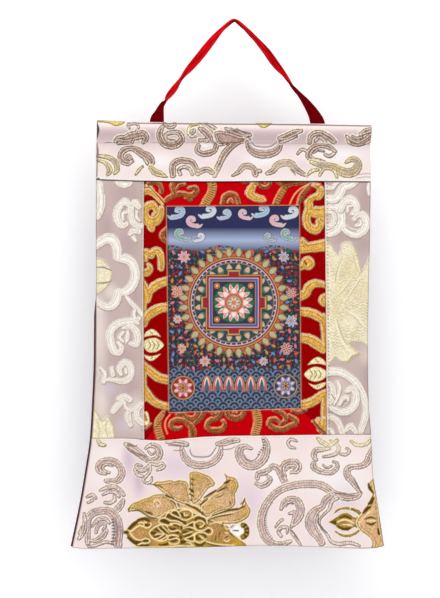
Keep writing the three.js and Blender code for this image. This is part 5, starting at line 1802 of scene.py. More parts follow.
def draw_lotus_threads(cloth):
    """Seeds, dark and cream threads of the lotus, and the white tip with its barred fan at the right."""
    cloth.lines(SEED, (
        ((-114.5, 558, 3.5), (-110, 553.5, 4), (-106.5, 551, 3.5)),
        ((-105, 548.8, 2.5), (-99, 547.5, 3), (-94, 549, 2.5), (-91, 551, 1.5)),
        ((-98.5, 553.8, 2.5), (-95, 554.2, 2.8), (-92.5, 554, 1.5)),
        ((-118.5, 562, 4), (-116.5, 562, 3)),
        ((-115.5, 567.5, 3), (-110, 572, 4), (-106, 573, 4), (-102, 571.5, 2)),
        ((-99.5, 571.5, 2), (-96.5, 571, 2.6), (-93.5, 571.5, 2)),
        ((-105, 576, 2.5), (-101, 576, 3), (-98, 576, 1)), ((-97, 576, 2.5), (-94, 575.5, 2.5)),
        ((-91, 562.5, 3), (-88, 563, 3.5), (-86.5, 562.8, 2)),
        ((-86, 558.5, 2.5), (-84, 559.5, 2.5), (-81.5, 561, 1.5)),
        ((-81.5, 556.5, 2), (-78.5, 559, 3), (-74, 562, 2.5), (-72.5, 563.5, 1)),
        ((-76.5, 556, 1.5), (-74, 558.5, 2)), ((-72, 557, 1.5), (-68, 558.5, 2.5), (-64, 558, 1.5)),
        ((-87.5, 567, 1.5), (-84, 566.5, 2.5), (-82, 565, 1.5)),
        ((-83, 569, 1.5), (-79, 567.5, 2.5), (-75.5, 565.5, 1.5)), ((-80, 562.5, 1.5), (-78.5, 563, 2)),
        ((-78, 570.5, 1.2), (-75, 569, 1.5)), ((-71, 568.5, 1.5), (-67.5, 567.5, 2), (-64, 567, 1.2)),
        ((-69, 562.5, 1), (-64, 562.5, 1.8), (-61, 562.3, 3)),
        ((-80.5, 549.5, 2), (-77, 549.5, 4), (-73, 551, 4.5), (-70, 551.8, 3.5)),
        ((-73.5, 545.5, 2.5), (-71, 544, 4), (-66, 546.5, 4), (-60, 548.5, 3.5), (-55, 551, 4),
         (-53.5, 552.5, 2)),
        ((-67, 541, 1.5), (-64.5, 540.5, 4), (-62, 542.5, 3.5), (-60, 545, 1.5)),
        ((-67, 553.5, 1.5), (-63.5, 554.5, 2), (-60.5, 556, 1.2)),
        ((-58.5, 555.5, 1), (-57.5, 557, 3), (-58, 558.5, 1)),
        ((-58.5, 541, 1.5), (-56.5, 543.5, 3), (-53, 545.5, 2.5), (-50, 545.8, 2)),
        ((-54, 557, 2.5), (-50, 558, 2.5), (-46, 559.5, 2)), ((-55, 562, 3), (-52, 562, 3)),
        ((-54.5, 566.5, 1.5), (-51, 566, 3), (-47, 564, 2)),
        ((-59, 566, 1), (-58, 567.5, 3), (-58.5, 569, 1)),
        ((-69, 571.5, 1.5), (-66, 571.5, 2.8), (-62.5, 570, 1.5)),
        ((-59.5, 572.5, 2), (-56, 572.5, 4), (-53.5, 571.5, 2)),
        ((-82, 575, 1.5), (-78, 575.5, 2), (-73, 574.5, 3)),
        ((-41, 554, 2), (-39, 556.5, 3.5), (-36, 557, 2.5), (-31, 554, 1.8)),
        ((-41, 566, 2.5), (-40, 568.5, 3.5), (-37, 569, 2)),
        ((-38, 563.8, 1), (-33.5, 564.4, 1.8), (-31, 567, 2.2)),
        ((-42.5, 548.5, 2), (-40, 546.5, 2.5), (-35, 547, 2), (-32.5, 549.5, 2.5), (-31, 552, 1.5)),
        ((-43, 573.5, 1.5), (-40, 575.4, 3), (-35, 575.2, 2.5), (-32, 572.5, 1.5)),
        ((-31, 560.5, 2), (-29, 560.5, 4.6), (-27, 560.5, 2)),
        ((-49.5, 554.5, 1.5), (-46.5, 554, 4), (-44.5, 555.5, 2)),
        ((-49, 568.5, 1.5), (-46.5, 569, 4), (-45, 567.5, 2)),
    ))
    cloth.lines(LOTUS_DARK, (
        ((-97, 539.5, 1), (-92, 541, 2.2), (-89, 542.5, 1)),
        ((-99, 541, 1), (-94, 544.5, 2), (-88, 546.5, 1.8), (-84, 547, 1)),
        ((-111, 539, 1), (-106, 537.6, 1.2), (-102, 539, 1.2), (-99, 541, 1)),
        ((-115.5, 537.5, 1.6), (-114, 535, 1.4)), ((-75, 522, 1.6), (-70, 524, 2), (-66, 525, 1)),
        ((-69, 527.5, 1.2), (-65.5, 530, 1.8), (-64, 532, 1)),
        ((-53, 531.5, 1.2), (-47, 534, 2), (-41, 536.6, 2.4), (-36, 540.6, 2.2), (-31, 544, 1)),
        ((-61.5, 531, 1.6), (-60, 534, 1.2)), ((-46.5, 504, 1.6), (-43.5, 505.5, 1)),
        ((-47, 509.5, 1.8), (-44.5, 511, 1.4)), ((-48.5, 515, 2.2), (-46, 517, 3), (-44.5, 518.5, 1.6)),
        ((-48.5, 520.5, 1.6), (-45, 522.8, 1.8)), ((-47.6, 527, 1.8), (-46.2, 527.6, 1.8)),
        ((-37, 532, 2), (-33, 529, 1.6), (-29, 526, 1.2)),
        ((-33, 524.5, 1.4), (-27, 520.5, 2), (-20, 516.5, 2)),
        ((-17.5, 517.5, 2), (-13, 515, 1.8), (-8, 512.8, 1)),
        ((-11, 508.5, 1.5), (-8, 507.5, 3), (-5, 505.5, 1.5)),
        ((-19, 524, 1), (-15, 522.8, 1), (-12, 520.8, 1)),
        ((-28.5, 549.5, 1.4), (-25, 546.6, 1.8), (-18, 544.6, 1.6), (-8, 543, 1.6), (-2, 542, 1)),
        ((-24, 543.5, 1), (-16, 541, 1.6), (-8, 538.4, 2), (-2, 537, 2), (3, 536.8, 2.6), (7, 536.2, 2),
         (12, 532.4, 1)),
        ((7, 531.5, 1), (10, 528.5, 1.4), (11.5, 524.8, 1)), ((-4.8, 528.6, 1.6), (-4.2, 530.4, 1.6)),
        ((-88.5, 529.5, 1), (-86.5, 531.5, 1)), ((-83.5, 529.5, 1), (-81.5, 531.5, 1)),
        ((-92, 509.6, 0.8), (-84, 511, 1.4), (-78, 513.6, 1)),
        ((-29, 573.6, 1), (-20, 576, 1.4), (-8, 577, 1)), ((-12, 551, 1), (-14, 556, 1)),
        ((-16, 562, 1), (-17, 567, 1)), ((-20, 566, 1), (-21, 571, 1)),
        ((-10, 567.6, 1), (-7, 566, 1.4)), ((-4, 556.6, 1), (-1, 554.6, 1.2)),
    ))
    cloth.lines(LOTUS_CREAM, (
        ((-104.5, 552, 1.2), (-101, 551.2, 1.5), (-98.5, 552.5, 1.5), (-98.5, 555.5, 1.5),
         (-96, 557.3, 1.6), (-92.5, 556.5, 1.6), (-90.5, 553.5, 1.4), (-91.5, 551.3, 1.2)),
        ((-98, 550.5, 1), (-96, 551.3, 1.6)),
        ((-116, 559.5, 1), (-112, 560.5, 1.5), (-107.5, 557, 1.6), (-103, 554.8, 1.6),
         (-98.5, 556, 1.5)),
        ((-113.5, 562, 1.4), (-111, 566, 1.6), (-107.5, 569, 1.6), (-102.5, 570.5, 1.4),
         (-98.5, 569.5, 1.2)),
        ((-100.5, 570.3, 1.4), (-97.5, 568.6, 1.5), (-93.5, 569.3, 1.5), (-92, 571.8, 1.3),
         (-95, 573.8, 1.4), (-100, 573.6, 1.5), (-104.5, 575.3, 1.4)),
        ((-92.5, 562, 1.5), (-90, 558.8, 1.6), (-85.5, 555.8, 1.5), (-80.5, 554, 1.5),
         (-75, 553.8, 1.4), (-72.5, 556.5, 1.2)),
        ((-92.5, 563, 1.5), (-90.5, 567, 1.6), (-86.5, 569.6, 1.6), (-80, 571.5, 1.5),
         (-75, 570.6, 1.4), (-72, 567.5, 1.2), (-74, 564.8, 1)),
        ((-83, 557.2, 1), (-80, 560.3, 1.3), (-77, 563, 1)),
        ((-78.5, 555.2, 1), (-75.5, 558.5, 1.3), (-72, 562, 1)),
        ((-86, 565, 1), (-82.5, 563.8, 1.3), (-76, 564, 1)),
        ((-85.5, 569, 1), (-81, 567.4, 1.3), (-77, 564.8, 1)),
        ((-80.5, 570.5, 1), (-76.5, 568.4, 1.3), (-73, 566, 1)),
        ((-82.5, 551, 1.2), (-81, 547.8, 1.5), (-77, 546.3, 1.5), (-73.5, 547.3, 1.4),
         (-70, 549.3, 1.4), (-64, 549.5, 1.3), (-58.5, 551.5, 1.4), (-55, 554.5, 1.4)),
        ((-82, 551.5, 1.2), (-79, 553, 1.3), (-73, 554.2, 1.3), (-70, 554, 1)),
        ((-75, 545, 1.2), (-73.5, 541.8, 1.5), (-70.5, 540.5, 1.5), (-68, 543, 1.3),
         (-64.5, 544.5, 1.3), (-60, 546.3, 1.4), (-55, 548.7, 1.4), (-51, 548.6, 1.2)),
        ((-68.5, 540, 1.2), (-66.5, 538.4, 1.5), (-63, 538.5, 1.5), (-60.5, 541, 1.5),
         (-58.5, 545, 1.4)),
        ((-59.5, 539.5, 1.2), (-57.5, 538, 1.5), (-53, 537.6, 1.5), (-48, 538.6, 1.5),
         (-45.5, 542, 1.5), (-46.8, 546.3, 1.5), (-50.5, 548, 1.4)),
        ((-54.5, 541, 1.4), (-54, 544, 1.6), (-51, 543.3, 1.4)), ((-69.5, 552.5, 1.8), (-68, 554, 1.6)),
        ((-70, 554.6, 1), (-66.5, 552.4, 1.3), (-62, 552.8, 1.4), (-58, 554.4, 1.3)),
        ((-72, 558, 1), (-69.5, 560.8, 1.5), (-65, 560.8, 1.4), (-61, 559.8, 1.3), (-58.5, 561.8, 1)),
        ((-72, 566, 1.2), (-69, 565, 1.5), (-64.5, 565.2, 1.5), (-61, 566.2, 1.2)),
        ((-71.5, 570, 1.2), (-67.5, 569.5, 1.3), (-63.5, 568.5, 1.4), (-60.5, 569.5, 1.4),
         (-60, 572.5, 1.3), (-63, 574.3, 1.4), (-68, 574.6, 1.4), (-71, 573, 1.2)),
        ((-56, 556, 1.2), (-52.5, 554.6, 1.4), (-48, 552, 1.3), (-44.5, 550.5, 1.2)),
        ((-55.5, 557.8, 1), (-50, 556.4, 1.2), (-45, 557.2, 1.4), (-41, 559.5, 1.4), (-36, 560.2, 1.4),
         (-31, 558.6, 1.3), (-28.5, 557, 1.4), (-25, 558, 1.5), (-23.8, 560.6, 1.5), (-25, 563.5, 1.5),
         (-28.5, 564.6, 1.4), (-31, 562.8, 1.3), (-37, 561.8, 1.4), (-42, 562.6, 1.4),
         (-46, 565.6, 1.3), (-54, 568.6, 1.2)),
        ((-55.5, 564.4, 1), (-50, 562.6, 1.1), (-46, 561.4, 1)),
        ((-54, 569.5, 1.2), (-50, 570.8, 1.3), (-45, 571.6, 1.3), (-43, 569, 1.3), (-44, 565.4, 1.2)),
        ((-43.5, 550.6, 1.4), (-43.8, 555, 1.5), (-41.5, 559, 1.5)),
        ((-42.5, 551.5, 1.4), (-38.5, 549.4, 1.5), (-34, 550.6, 1.4), (-32, 553, 1.3)),
        ((-37.5, 556.3, 1.6), (-35, 555.6, 1.6), (-33.5, 553.6, 1.2)),
        ((-43.3, 570.5, 1.5), (-43.6, 566, 1.5), (-41.5, 563, 1.4)),
        ((-42.5, 571.5, 1.4), (-38, 573, 1.5), (-33.5, 571.2, 1.4), (-30.5, 569, 1.2)),
        ((-37.5, 565.6, 1.6), (-35, 567.6, 1.6), (-33, 569.4, 1.2)),
        ((-45, 546, 1.2), (-41, 543.8, 1.5), (-36, 543.6, 1.5), (-32, 545.6, 1.5), (-30, 548.6, 1.4),
         (-29.5, 552, 1.2)),
        ((-52, 572.8, 1), (-48, 573.6, 1.4), (-44.5, 577, 1.2)),
        ((-31, 571.4, 1.3), (-26, 573, 1.5), (-18, 574.6, 1.5), (-8, 575.4, 1.5), (0, 575.4, 1.2)),
        ((-110, 576.5, 1), (-104, 578, 1.5), (-90, 578, 1.5), (-76, 578, 1.4), (-60, 576.6, 1.5),
         (-46, 576.8, 1.3)),
        ((-88, 532, 1), (-87, 528, 1.2), (-83, 527, 1.2), (-80.6, 531, 1.2), (-84, 534.4, 1.2)),
        ((-96, 542, 0.8), (-91, 544.4, 1.3), (-85, 545.6, 0.8)),
        ((-54, 529.6, 0.8), (-46, 531.6, 1.3), (-38, 535, 1.3), (-31, 541, 0.8)),
        ((-57, 535, 0.8), (-48, 537, 1.2), (-38, 542, 1)),
        ((-36, 534, 0.8), (-30, 528.6, 1.2), (-22, 521, 1), (-12, 516.6, 0.8)),
        ((-27, 546.6, 0.8), (-16, 542.8, 1.2), (0, 540, 1), (9, 536.4, 0.8)),
        ((-11, 553.6, 1), (-8, 558.4, 1.3), (-5, 557, 1)),
        ((-11.6, 570, 1), (-8, 571.6, 1.3), (-4.6, 569.6, 1)), ((-10, 562, 1), (-7, 562.4, 1.3)),
        ((-27, 553, 1), (-18, 550.6, 1.2), (-8, 549.6, 1)),
    ))
    cloth.lines(TIP_WHITE, (((-4, 560.6, 1), (0, 560.4, 5), (5, 560.2, 12), (6.5, 560.2, 12)),))
    cloth.lines(TIP_DARK, (
        ((-1.6, 560, 0.9), (2, 560, 1.6), (5, 560.3, 0.8)), ((-4.6, 562.6, 1), (-2.6, 565, 1)),
    ))
    fan = tuple((9 + 4.6 * math.cos(a), 560.4 + 6.4 * math.sin(a), 5.6) for a in np.linspace(-1.5, 1.5, 7))
    cloth.rope(OLIVE, fan, FAN_BAR, 4.0)


def draw_side_lotus(cloth):
    """The next lotus of the weave, cut off by the right edge."""
    cloth.motif(GOLD, (
        ((128, 537.5, 2.6), (122, 535.6, 2.4), (114, 537, 2), (109, 541, 1.4)),
        ((110, 561, 1.6), (116, 564.6, 2.2), (124, 565.6, 2.4), (132, 562.6, 2.4), (138, 557, 2)),
    ))
    cloth.motif(OLIVE, (((128, 536.6, 2.4), (134, 539, 3.4), (139, 543.6, 4)),), (
        ((103, 551), (103, 551), (111, 546), (117, 542), (124, 541.5), (131, 546), (136, 545),
         (137, 557), (130, 556), (123, 560), (114, 558), (109, 554)),
    ))
    cloth.motif(GOLD, (), (
        ((151, 504), (151, 504), (146.5, 509), (146, 514), (151, 519), (148, 526), (146, 531),
         (141, 538), (138, 543), (134, 548), (134, 554), (138, 560), (146, 566), (150, 572), (150, 580),
         (166, 580), (160, 560), (157, 530), (153.5, 514)),
    ))
    cloth.blush(SIDE_LOTUS_PEACH, ((140, 550, 8), (152, 566, 8), (128, 551, 5)), 0.7)
    cloth.lines(LOTUS_DARK, (
        ((146, 509, 1.5), (147.5, 514, 3.5), (151, 519, 2)),
        ((151, 524, 2), (149, 529, 4.4), (146, 531, 2)),
        ((148, 534, 2), (144, 536.5, 4), (140, 541, 2)),
        ((143, 551, 1), (149, 553, 2.6), (154, 550.5, 1)),
        ((142, 547.6, 1), (148, 545.4, 2.2), (154, 547, 1)), ((156, 558, 2), (157, 563, 3)),
        ((106, 551, 2), (110, 551, 4)), ((113, 555, 1.5), (119, 558.4, 3), (126, 557, 2)),
        ((115, 546, 1.5), (121, 544.5, 2.6), (127, 547, 2)),
    ))
    cloth.lines(LOTUS_CREAM, (
        ((112, 551, 1.6), (118, 548.4, 2.2), (124, 549, 2), (130, 552, 1.2)),
        ((118, 553.5, 1.2), (124, 553.6, 1.6), (129, 555, 1)), ((145, 549.4, 1.2), (153, 549.2, 1.2)),
        ((150, 538, 1), (143, 543, 1.4), (136, 551, 1)),
    ))


def draw_bottom(cloth):
    """The whole bottom panel, the scrolls first and the lotuses over them."""
    for draw in (
        draw_left_scrolls, draw_right_scrolls, draw_lotus, draw_lotus_threads, draw_side_lotus,
    ):
        draw(cloth)


ivory_brocade = brocade_material("ivory_brocade", 0.6, 0.4, 0.4)
bottom_edges = {
    "left": left_edge,
    "right": right_edge,
    "top": bottom_seam,
    "bottom": bottom_hem,
    "free": ("left", "right", "bottom"),
    "folded": ("top",),
}
bottom, front = hang_panel(
    "bottom_cloth", bottom_edges, BOTTOM_THICK, (490, 182), (60, 20), ivory_brocade,
    woven(draw_bottom, IVORY_GROUND), IVORY_CREAM_AND_HIGHLIGHT, IVORY_SHADE,
)
sew("bottom_stitches", (beside(front, "top", STITCH_IN),), cream_thread)
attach(bottom, "root")
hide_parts("bottom_panel")

# Heading
# One sheet of ivory brocade: up the front, round an open sleeve for a rod and down the back to a
# short tail. A stitch line closes the sleeve, and the hem is folded over the frame and side panels.
TOP_EDGE = ((-150, 113.0), (-108, 114.8), (-40, 115.9), (55, 116.6), (150, 118.0))  # x, down
SLEEVE_DEPTH = ((-150, 7.8), (-95, 9.2), (-15, 8.6), (50, 9.4), (110, 9.0), (150, 8.2))  # x, depth
SLEEVE_SECTION = (  # out: 0 front layer, 1 front of the bulge, -1 back layer; up: 1 at the top edge
    (0, 0), (0.42, 0.1), (0.8, 0.3), (1, 0.58), (0.84, 0.84), (0.44, 0.98), (0, 1), (-0.72, 0.92), (-1, 0.76),
)
HEADING_THICK = 1.3
HEADING_LONG = 103.0  # from the hem, round the sleeve, to the end of its tail
HEADING_FRONT = CLOTH_BACK - 1.9 + HEADING_THICK / 2  # depth of the middle of its front and back layers
HEADING_BACK = 3.0 + HEADING_THICK / 2
SLEEVE_END_DIP = 2.2
FRONT_SHARE = 0.40  # shares of the sheet's rows on the flat front and round the sleeve
ROUND_SHARE = 0.84
HEADING_CELLS = (430, 196)
PUCKER_ROWS = (0.02, 0.75)  # rows between which the stitch line's puckers show
NEXT_ROW = 0.004
# Painted highlight along the heading's folded hem:
HEM_HIGHLIGHT = (0.8, 3.2, 1.8)  # strength, width and fade of the bright line along the hem
HEM_HIGHLIGHT_WHITE = (255, 254, 248)

top_edge = line_through(TOP_EDGE)
sleeve_depth = line_through(SLEEVE_DEPTH)
section_steps = len(SLEEVE_SECTION) - 1
round_out = line_through([(k / section_steps, out) for k, (out, _) in enumerate(SLEEVE_SECTION)])
round_up = line_through([(k / section_steps, up) for k, (_, up) in enumerate(SLEEVE_SECTION)])


def heading_middle(x, row):
    """Depth and height of the folded sheet's middle, from the hem at row 0 to the tail at row 1."""
    stitch, hem = stitch_line(x), heading_hem(x) + LAP
    height = stitch - top_edge(x) - HEADING_THICK / 2
    flat_down = hem + (stitch - hem) * np.clip(row / FRONT_SHARE, 0, 1)
    turn = np.clip((row - FRONT_SHARE) / (ROUND_SHARE - FRONT_SHARE), 0, 1)
    out, up = round_out(turn), round_up(turn)
    tail = np.clip((row - ROUND_SHARE) / (1 - ROUND_SHARE), 0, 1)
    shallow = np.where(out > 0, -out * sleeve_depth(x), -out * (HEADING_BACK - HEADING_FRONT))
    round_y = HEADING_FRONT + shallow
    round_down = stitch - up * height
    back_down = round_down + (stitch + SLEEVE_TAIL - round_down) * tail
    on_front = row < FRONT_SHARE
    y = np.where(on_front, HEADING_FRONT - drape(x, flat_down), round_y)
    return y, np.where(on_front, flat_down, back_down)


# Painted shade under the sleeve, painted sheen and shade on the front, painted shade down the left edge and
# painted shadow in the sleeve's open end
SLEEVE_SHADE = (198, 170, 174)
FRONT_PAINTED_SHEEN = (255, 250, 250)
FRONT_LILAC_SHADE = (222, 204, 214)
STRAW_DIM = (184, 160, 148)
EDGE_SHADE = (150, 130, 124)
SLEEVE_END_SHADOW = (44, 28, 28)
KNOT_DARK = (52, 36, 36)
STALK_LINE = (120, 105, 103)
BOAT_LINE = (146, 128, 126)
BOAT_LIGHT = (250, 244, 241)
STRAW_GLOW = (226, 206, 172)
WAVE_LINE = (126, 108, 96)
STRAW_GREY = (176, 158, 148)
END_LINE = (200, 180, 168)
SHORT_LINE = (140, 122, 120)
TOP_CREASE_SHADE = (132, 112, 100)


def draw_heading_left(cloth):
    """Painted shade under the sleeve's bulge, a painted highlight along the top edge, painted sheen
    and shade on the front, painted shade and shadow at the left end, and the scrolls of the left end.
    """
    below_top = cloth.down - 115.5 - (cloth.x + 20) / 90
    # painted shade under the sleeve's bulge, then a painted highlight along the top edge
    cloth.cover(cloth.everywhere, 0.75 * np.clip(1 - ((below_top - 15) / 9) ** 2, 0, 1), SLEEVE_SHADE)
    cloth.cover(cloth.everywhere, 0.8 * np.clip(1 - below_top / 5, 0, 1), IVORY_CREAM_AND_HIGHLIGHT)
    # painted sheen and painted shade on the front
    cloth.paint_light_and_shade(FRONT_PAINTED_SHEEN, ((-90, 158, 50, 14), (110, 150, 50, 16), (30, 156, 30, 10)), 0.8)
    cloth.paint_light_and_shade(FRONT_LILAC_SHADE, (
        (-50, 150, 26, 14), (0, 162, 26, 14), (75, 164, 20, 12), (-120, 146, 20, 8),
    ), 0.35)
    cloth.motif(TAUPE, (
        ((-130, 136, 3), (-126, 133, 5), (-119, 133, 6.5), (-112, 131, 8.5), (-105, 130, 8),
         (-99, 129, 7.5), (-96, 132.5, 6), (-99.5, 137, 4)),
        ((-127, 138.5, 2.5), (-118, 137.5, 3.5), (-113.5, 137.5, 5), (-110, 132, 5)),
        ((-105, 123.5, 3), (-105, 127, 5)),
    ))
    cloth.motif(TAUPE, (
        ((-92.5, 163, 4), (-90, 159, 6), (-93, 153.5, 8), (-99, 150.5, 8), (-106, 146, 7),
         (-113, 143.5, 5), (-120, 145.5, 6), (-124, 151, 6), (-122, 157.5, 6), (-116, 160, 5),
         (-111.5, 157.5, 3.5)),
        ((-112, 155, 2), (-115.5, 151, 2.5), (-118, 153.5, 2.5), (-115.5, 156, 2)),
        ((-98, 155, 3), (-95, 160, 3.5)),
    ))
    cloth.motif(STRAW, (
        ((-100, 163.5, 2), (-104, 167, 3), (-107.5, 172, 2)),
        ((-91, 165, 5), (-87, 169, 7), (-80, 172, 6), (-73, 175, 1)),
    ))
    cloth.motif(STRAW, (
        ((-149.5, 152, 3), (-142, 152.5, 4), (-134, 155, 5), (-129, 160, 6), (-128, 167, 5),
         (-131, 171, 3)),
    ))
    cloth.motif(STRAW, (
        ((-149.5, 157, 2), (-143, 158.5, 3), (-138, 162.5, 5), (-136, 168, 6), (-138, 172, 4)),
    ))
    cloth.blush(STRAW_DIM, ((-128, 158, 9), (-138, 170, 5)), 0.7)
    cloth.motif(TAUPE, (
        ((-78, 121.5, 4), (-81, 127, 6), (-80, 134, 7), (-75, 139.5, 7), (-68, 141, 7), (-61, 138.5, 7),
         (-57, 133, 6), (-60, 128, 5), (-67, 127, 4), (-73, 128.5, 4), (-75, 132, 3.5),
         (-71, 135.5, 3.5), (-66, 135.5, 3.5)),
        ((-76, 118, 3), (-71, 121, 5), (-66, 120, 5), (-65, 117, 3)),
    ))
    # painted shade down the left edge, and painted shadow inside the sleeve's open end
    cloth.lines(EDGE_SHADE, (
        ((-149.8, 138, 1.2), (-149, 148, 2.6), (-149.6, 160, 1.4), (-150, 176, 1.6)),
    ))
    cloth.lines(SLEEVE_END_SHADOW, (((-149.6, 117.6, 2), (-148.6, 124, 4), (-149.6, 132, 2)),))
    cloth.motif(PALE, (
        ((-114, 123, 2.5), (-115.5, 119.5, 2.5), (-110, 118, 3), (-105, 119, 3), (-104, 123, 2)),
    ))
    cloth.motif(TIP, (), (
        ((-149, 114), (-137, 114.4), (-118, 115.6), (-118, 115.6), (-122, 119), (-130, 120.5),
         (-136, 117.5), (-149, 116)),
    ))


def draw_heading_middle(cloth):
    """The stalk with its curls and the boat-shaped scroll beside it, and the waves along the hem."""
    cloth.motif(STRAW, (
        ((-40, 119, 2), (-47, 120.5, 2.5), (-50, 126, 3.5), (-47.5, 131, 2.5), (-42, 131, 2)),
        ((-20, 135, 6), (-24, 127, 6), (-30, 121.5, 6), (-38, 118.5, 4)),
    ))
    cloth.motif(TAUPE, (
        ((-44, 125.5, 4), (-46, 127, 5)),
        ((-38, 123, 3), (-33, 126, 6), (-27.5, 131, 6), (-24.5, 137, 4)),
        ((-38, 134.5, 2.5), (-33, 135.5, 4.5), (-28, 134, 3)),
        ((-33, 117, 2), (-27, 119.5, 3), (-21, 123, 3.5), (-17, 127.5, 2.5)),
    ))
    cloth.motif(TAUPE, (
        ((-39, 140, 4), (-40.5, 146, 5.5), (-35, 149.5, 5.5), (-28, 149, 6), (-21.5, 146, 5),
         (-19.5, 140, 5), (-18, 134, 4)),
        ((-17, 126, 3), (-14, 132, 6), (-18, 138, 5), (-10, 138, 5)),
    ))
    cloth.lines(IVORY_CREAM_AND_HIGHLIGHT, (((-36, 138.6, 3), (-30, 140.6, 5), (-25, 138.6, 3)),))
    cloth.motif(
        TAUPE,
        (
            ((14, 134.5, 4), (4, 136.5, 6), (-4, 142, 6.5), (-10.5, 149, 6.5), (-15, 158, 6),
             (-19, 166, 6), (-21.5, 173, 5)),
            ((-10, 123, 2), (-4, 125, 4.5), (4, 127.5, 5), (12, 130, 4), (18, 129.5, 2)),
            ((-9, 131, 5), (0, 133, 5), (9, 133.5, 5), (15, 134, 4)),
        ),
        (
            ((-21, 127), (-13, 126), (-3, 128), (8, 131.5), (18, 133), (14, 137), (4, 138.5), (-8, 139),
             (-18, 137)),
        ),
    )
    cloth.lines(KNOT_DARK, (
        ((-15, 137.4, 1.6), (-12.4, 139.2, 1.6)), ((-22, 137, 1.5), (-20, 139, 1.2)),
        ((-8.6, 139.6, 1.4), (-7.4, 138, 1.1)), ((12, 136, 1.2), (16, 134, 1.4)),
    ))
    cloth.lines(STALK_LINE, (
        ((6, 139, 0.8), (-1, 144, 1.4), (-7, 151, 1.2), (-12, 158.5, 1.4), (-16, 168, 1)),
        ((2, 123, 1), (8, 126, 1.6), (18, 128, 1)), ((-6, 125, 0.8), (1, 125.2, 1.2), (7, 129, 0.8)),
    ))
    cloth.motif(TAUPE, (
        ((14, 137, 4), (17, 144, 7), (24, 149, 8), (33, 150, 9), (42, 148.5, 8), (48, 144, 7),
         (51, 137, 4)),
    ))
    cloth.lines(BOAT_LINE, (
        ((18, 136, 1), (22, 140.5, 1.2), (29, 142, 1.2), (37, 142, 1.2), (43, 139.5, 1.2),
         (48, 134, 1)),
    ))
    cloth.lines(BOAT_LIGHT, (
        ((17, 139, 0.8), (22, 143, 1.2), (29, 144.6, 1.2), (37, 144.6, 1.2), (44, 142, 1.2),
         (49, 137, 0.8)),
    ))
    cloth.motif(TAUPE, (
        ((49, 133, 4), (57, 131, 6), (65, 127.5, 6), (73, 125.5, 3)),
        ((50, 137, 3), (58, 134.5, 3), (68, 131, 2)),
    ))
    cloth.motif(TIP, (), (((23, 115.5), (41, 116), (34, 122.5), (28, 121.5)),))
    cloth.motif(TAUPE, (
        ((-67, 173, 6), (-67, 162.5, 6.5), (-61, 157.5, 6.5), (-53, 157, 6), (-46, 159, 6),
         (-42, 165, 5.5), (-40, 171, 5)),
        ((-59, 172, 3.5), (-60.5, 167, 3.5), (-55, 164, 3.5), (-49, 166, 3.5), (-46, 172, 3)),
        ((-40, 171, 5), (-35, 168, 5.5), (-29, 167, 5.5), (-24, 170, 5)),
    ))
    cloth.motif(TAUPE, (
        ((-2, 173.5, 2), (5, 169, 5), (10, 163.5, 6), (16, 163, 6), (21, 166, 6), (23, 172, 6)),
        ((22, 168, 5), (28, 168.5, 4)),
    ))
    cloth.motif(TAUPE, (
        ((36, 171, 4), (42, 168, 6), (47, 162, 7), (54, 159.5, 7), (62, 160.5, 7), (67, 166, 6),
         (74, 171, 5), (80, 174, 2)),
    ))
    cloth.blush(STRAW_GLOW, (
        (50, 162, 12), (60, 166, 9), (14, 168, 9), (-20, 170, 9), (-44, 172, 10),
    ), 0.6)
    cloth.lines(WAVE_LINE, (
        ((61, 166, 1), (64, 169, 1.6), (67, 173, 1)),
        ((-62, 168, 0.8), (-56, 165.4, 1), (-50, 167.5, 0.8)),
    ))


def draw_heading_right(cloth):
    """The scrolls and the straw-coloured wave of the right end, and a line of painted shade for the
    crease under the top edge.
    """
    cloth.motif(TAUPE, (
        ((82, 137.5, 4), (82.5, 132, 5), (86.5, 128.5, 5), (93, 127.5, 5), (99, 130, 5.5),
         (105, 133.5, 5.5), (109.5, 137, 3.5)),
        ((88, 135.5, 3), (92, 132, 3), (96, 133.5, 3), (100, 138, 3)),
    ))
    cloth.motif(TAUPE, (
        ((110, 147, 3), (104, 142.5, 5), (96, 140.5, 5), (88, 142, 5.5), (83, 146.5, 6), (81, 152, 6),
         (86, 156.5, 6), (94, 158.5, 6), (101, 162, 6)),
        ((109, 149, 3), (104, 152, 4), (99, 150.5, 3)),
        ((69, 149.5, 2.5), (74, 145, 3.5), (80, 147.5, 3)),
        ((86, 149, 1.6), (91, 146, 2), (98, 147, 1.6)),
    ))
    cloth.motif(STRAW, (
        ((84, 158.5, 4), (91, 161, 5), (99, 163, 7), (107, 164, 8), (115, 168, 9), (123, 170.5, 10),
         (131, 168.5, 10), (135, 162, 8.5), (133, 157, 7), (128, 155.5, 5.5), (122, 159, 3)),
        ((93, 173, 3), (98, 166, 3), (104, 165, 3), (109, 168.5, 3), (112, 175, 3)),
        ((80, 173, 2), (84, 168.5, 4), (91, 167, 3)),
    ))
    cloth.blush(STRAW_GREY, ((134, 160, 9), (96, 162, 8), (124, 168, 6)), 0.7)
    cloth.motif(TAUPE, (
        ((149, 124.5, 4), (143, 126, 5.5), (137, 129, 4)),
        ((122, 131, 3), (126.5, 136, 6), (134, 138.5, 6), (142, 136, 7), (149, 131, 7)),
        ((128, 131, 2), (134, 133, 2.5), (139, 131.5, 2)),
    ))
    cloth.lines(END_LINE, (
        ((131, 173.5, 1), (140, 171.6, 1.2), (149, 171.2, 1)),
        ((132, 176.6, 1), (141, 175, 1.2), (149, 174.8, 1)),
    ))
    cloth.lines(SHORT_LINE, (((-142, 137.5, 0.8), (-137, 137, 1.2), (-132, 137.4, 0.6)),))
    # painted shade of the crease under the top edge
    cloth.lines(TOP_CREASE_SHADE, (
        ((-116, 117.2, 1.4), (-60, 118, 1.6), (0, 118.4, 1.6), (60, 119, 1.6), (148, 120.4, 1.5)),
    ))


def draw_heading(cloth):
    """The whole heading, from its left end to its right one."""
    for draw in (draw_heading_left, draw_heading_middle, draw_heading_right):
        draw(cloth)


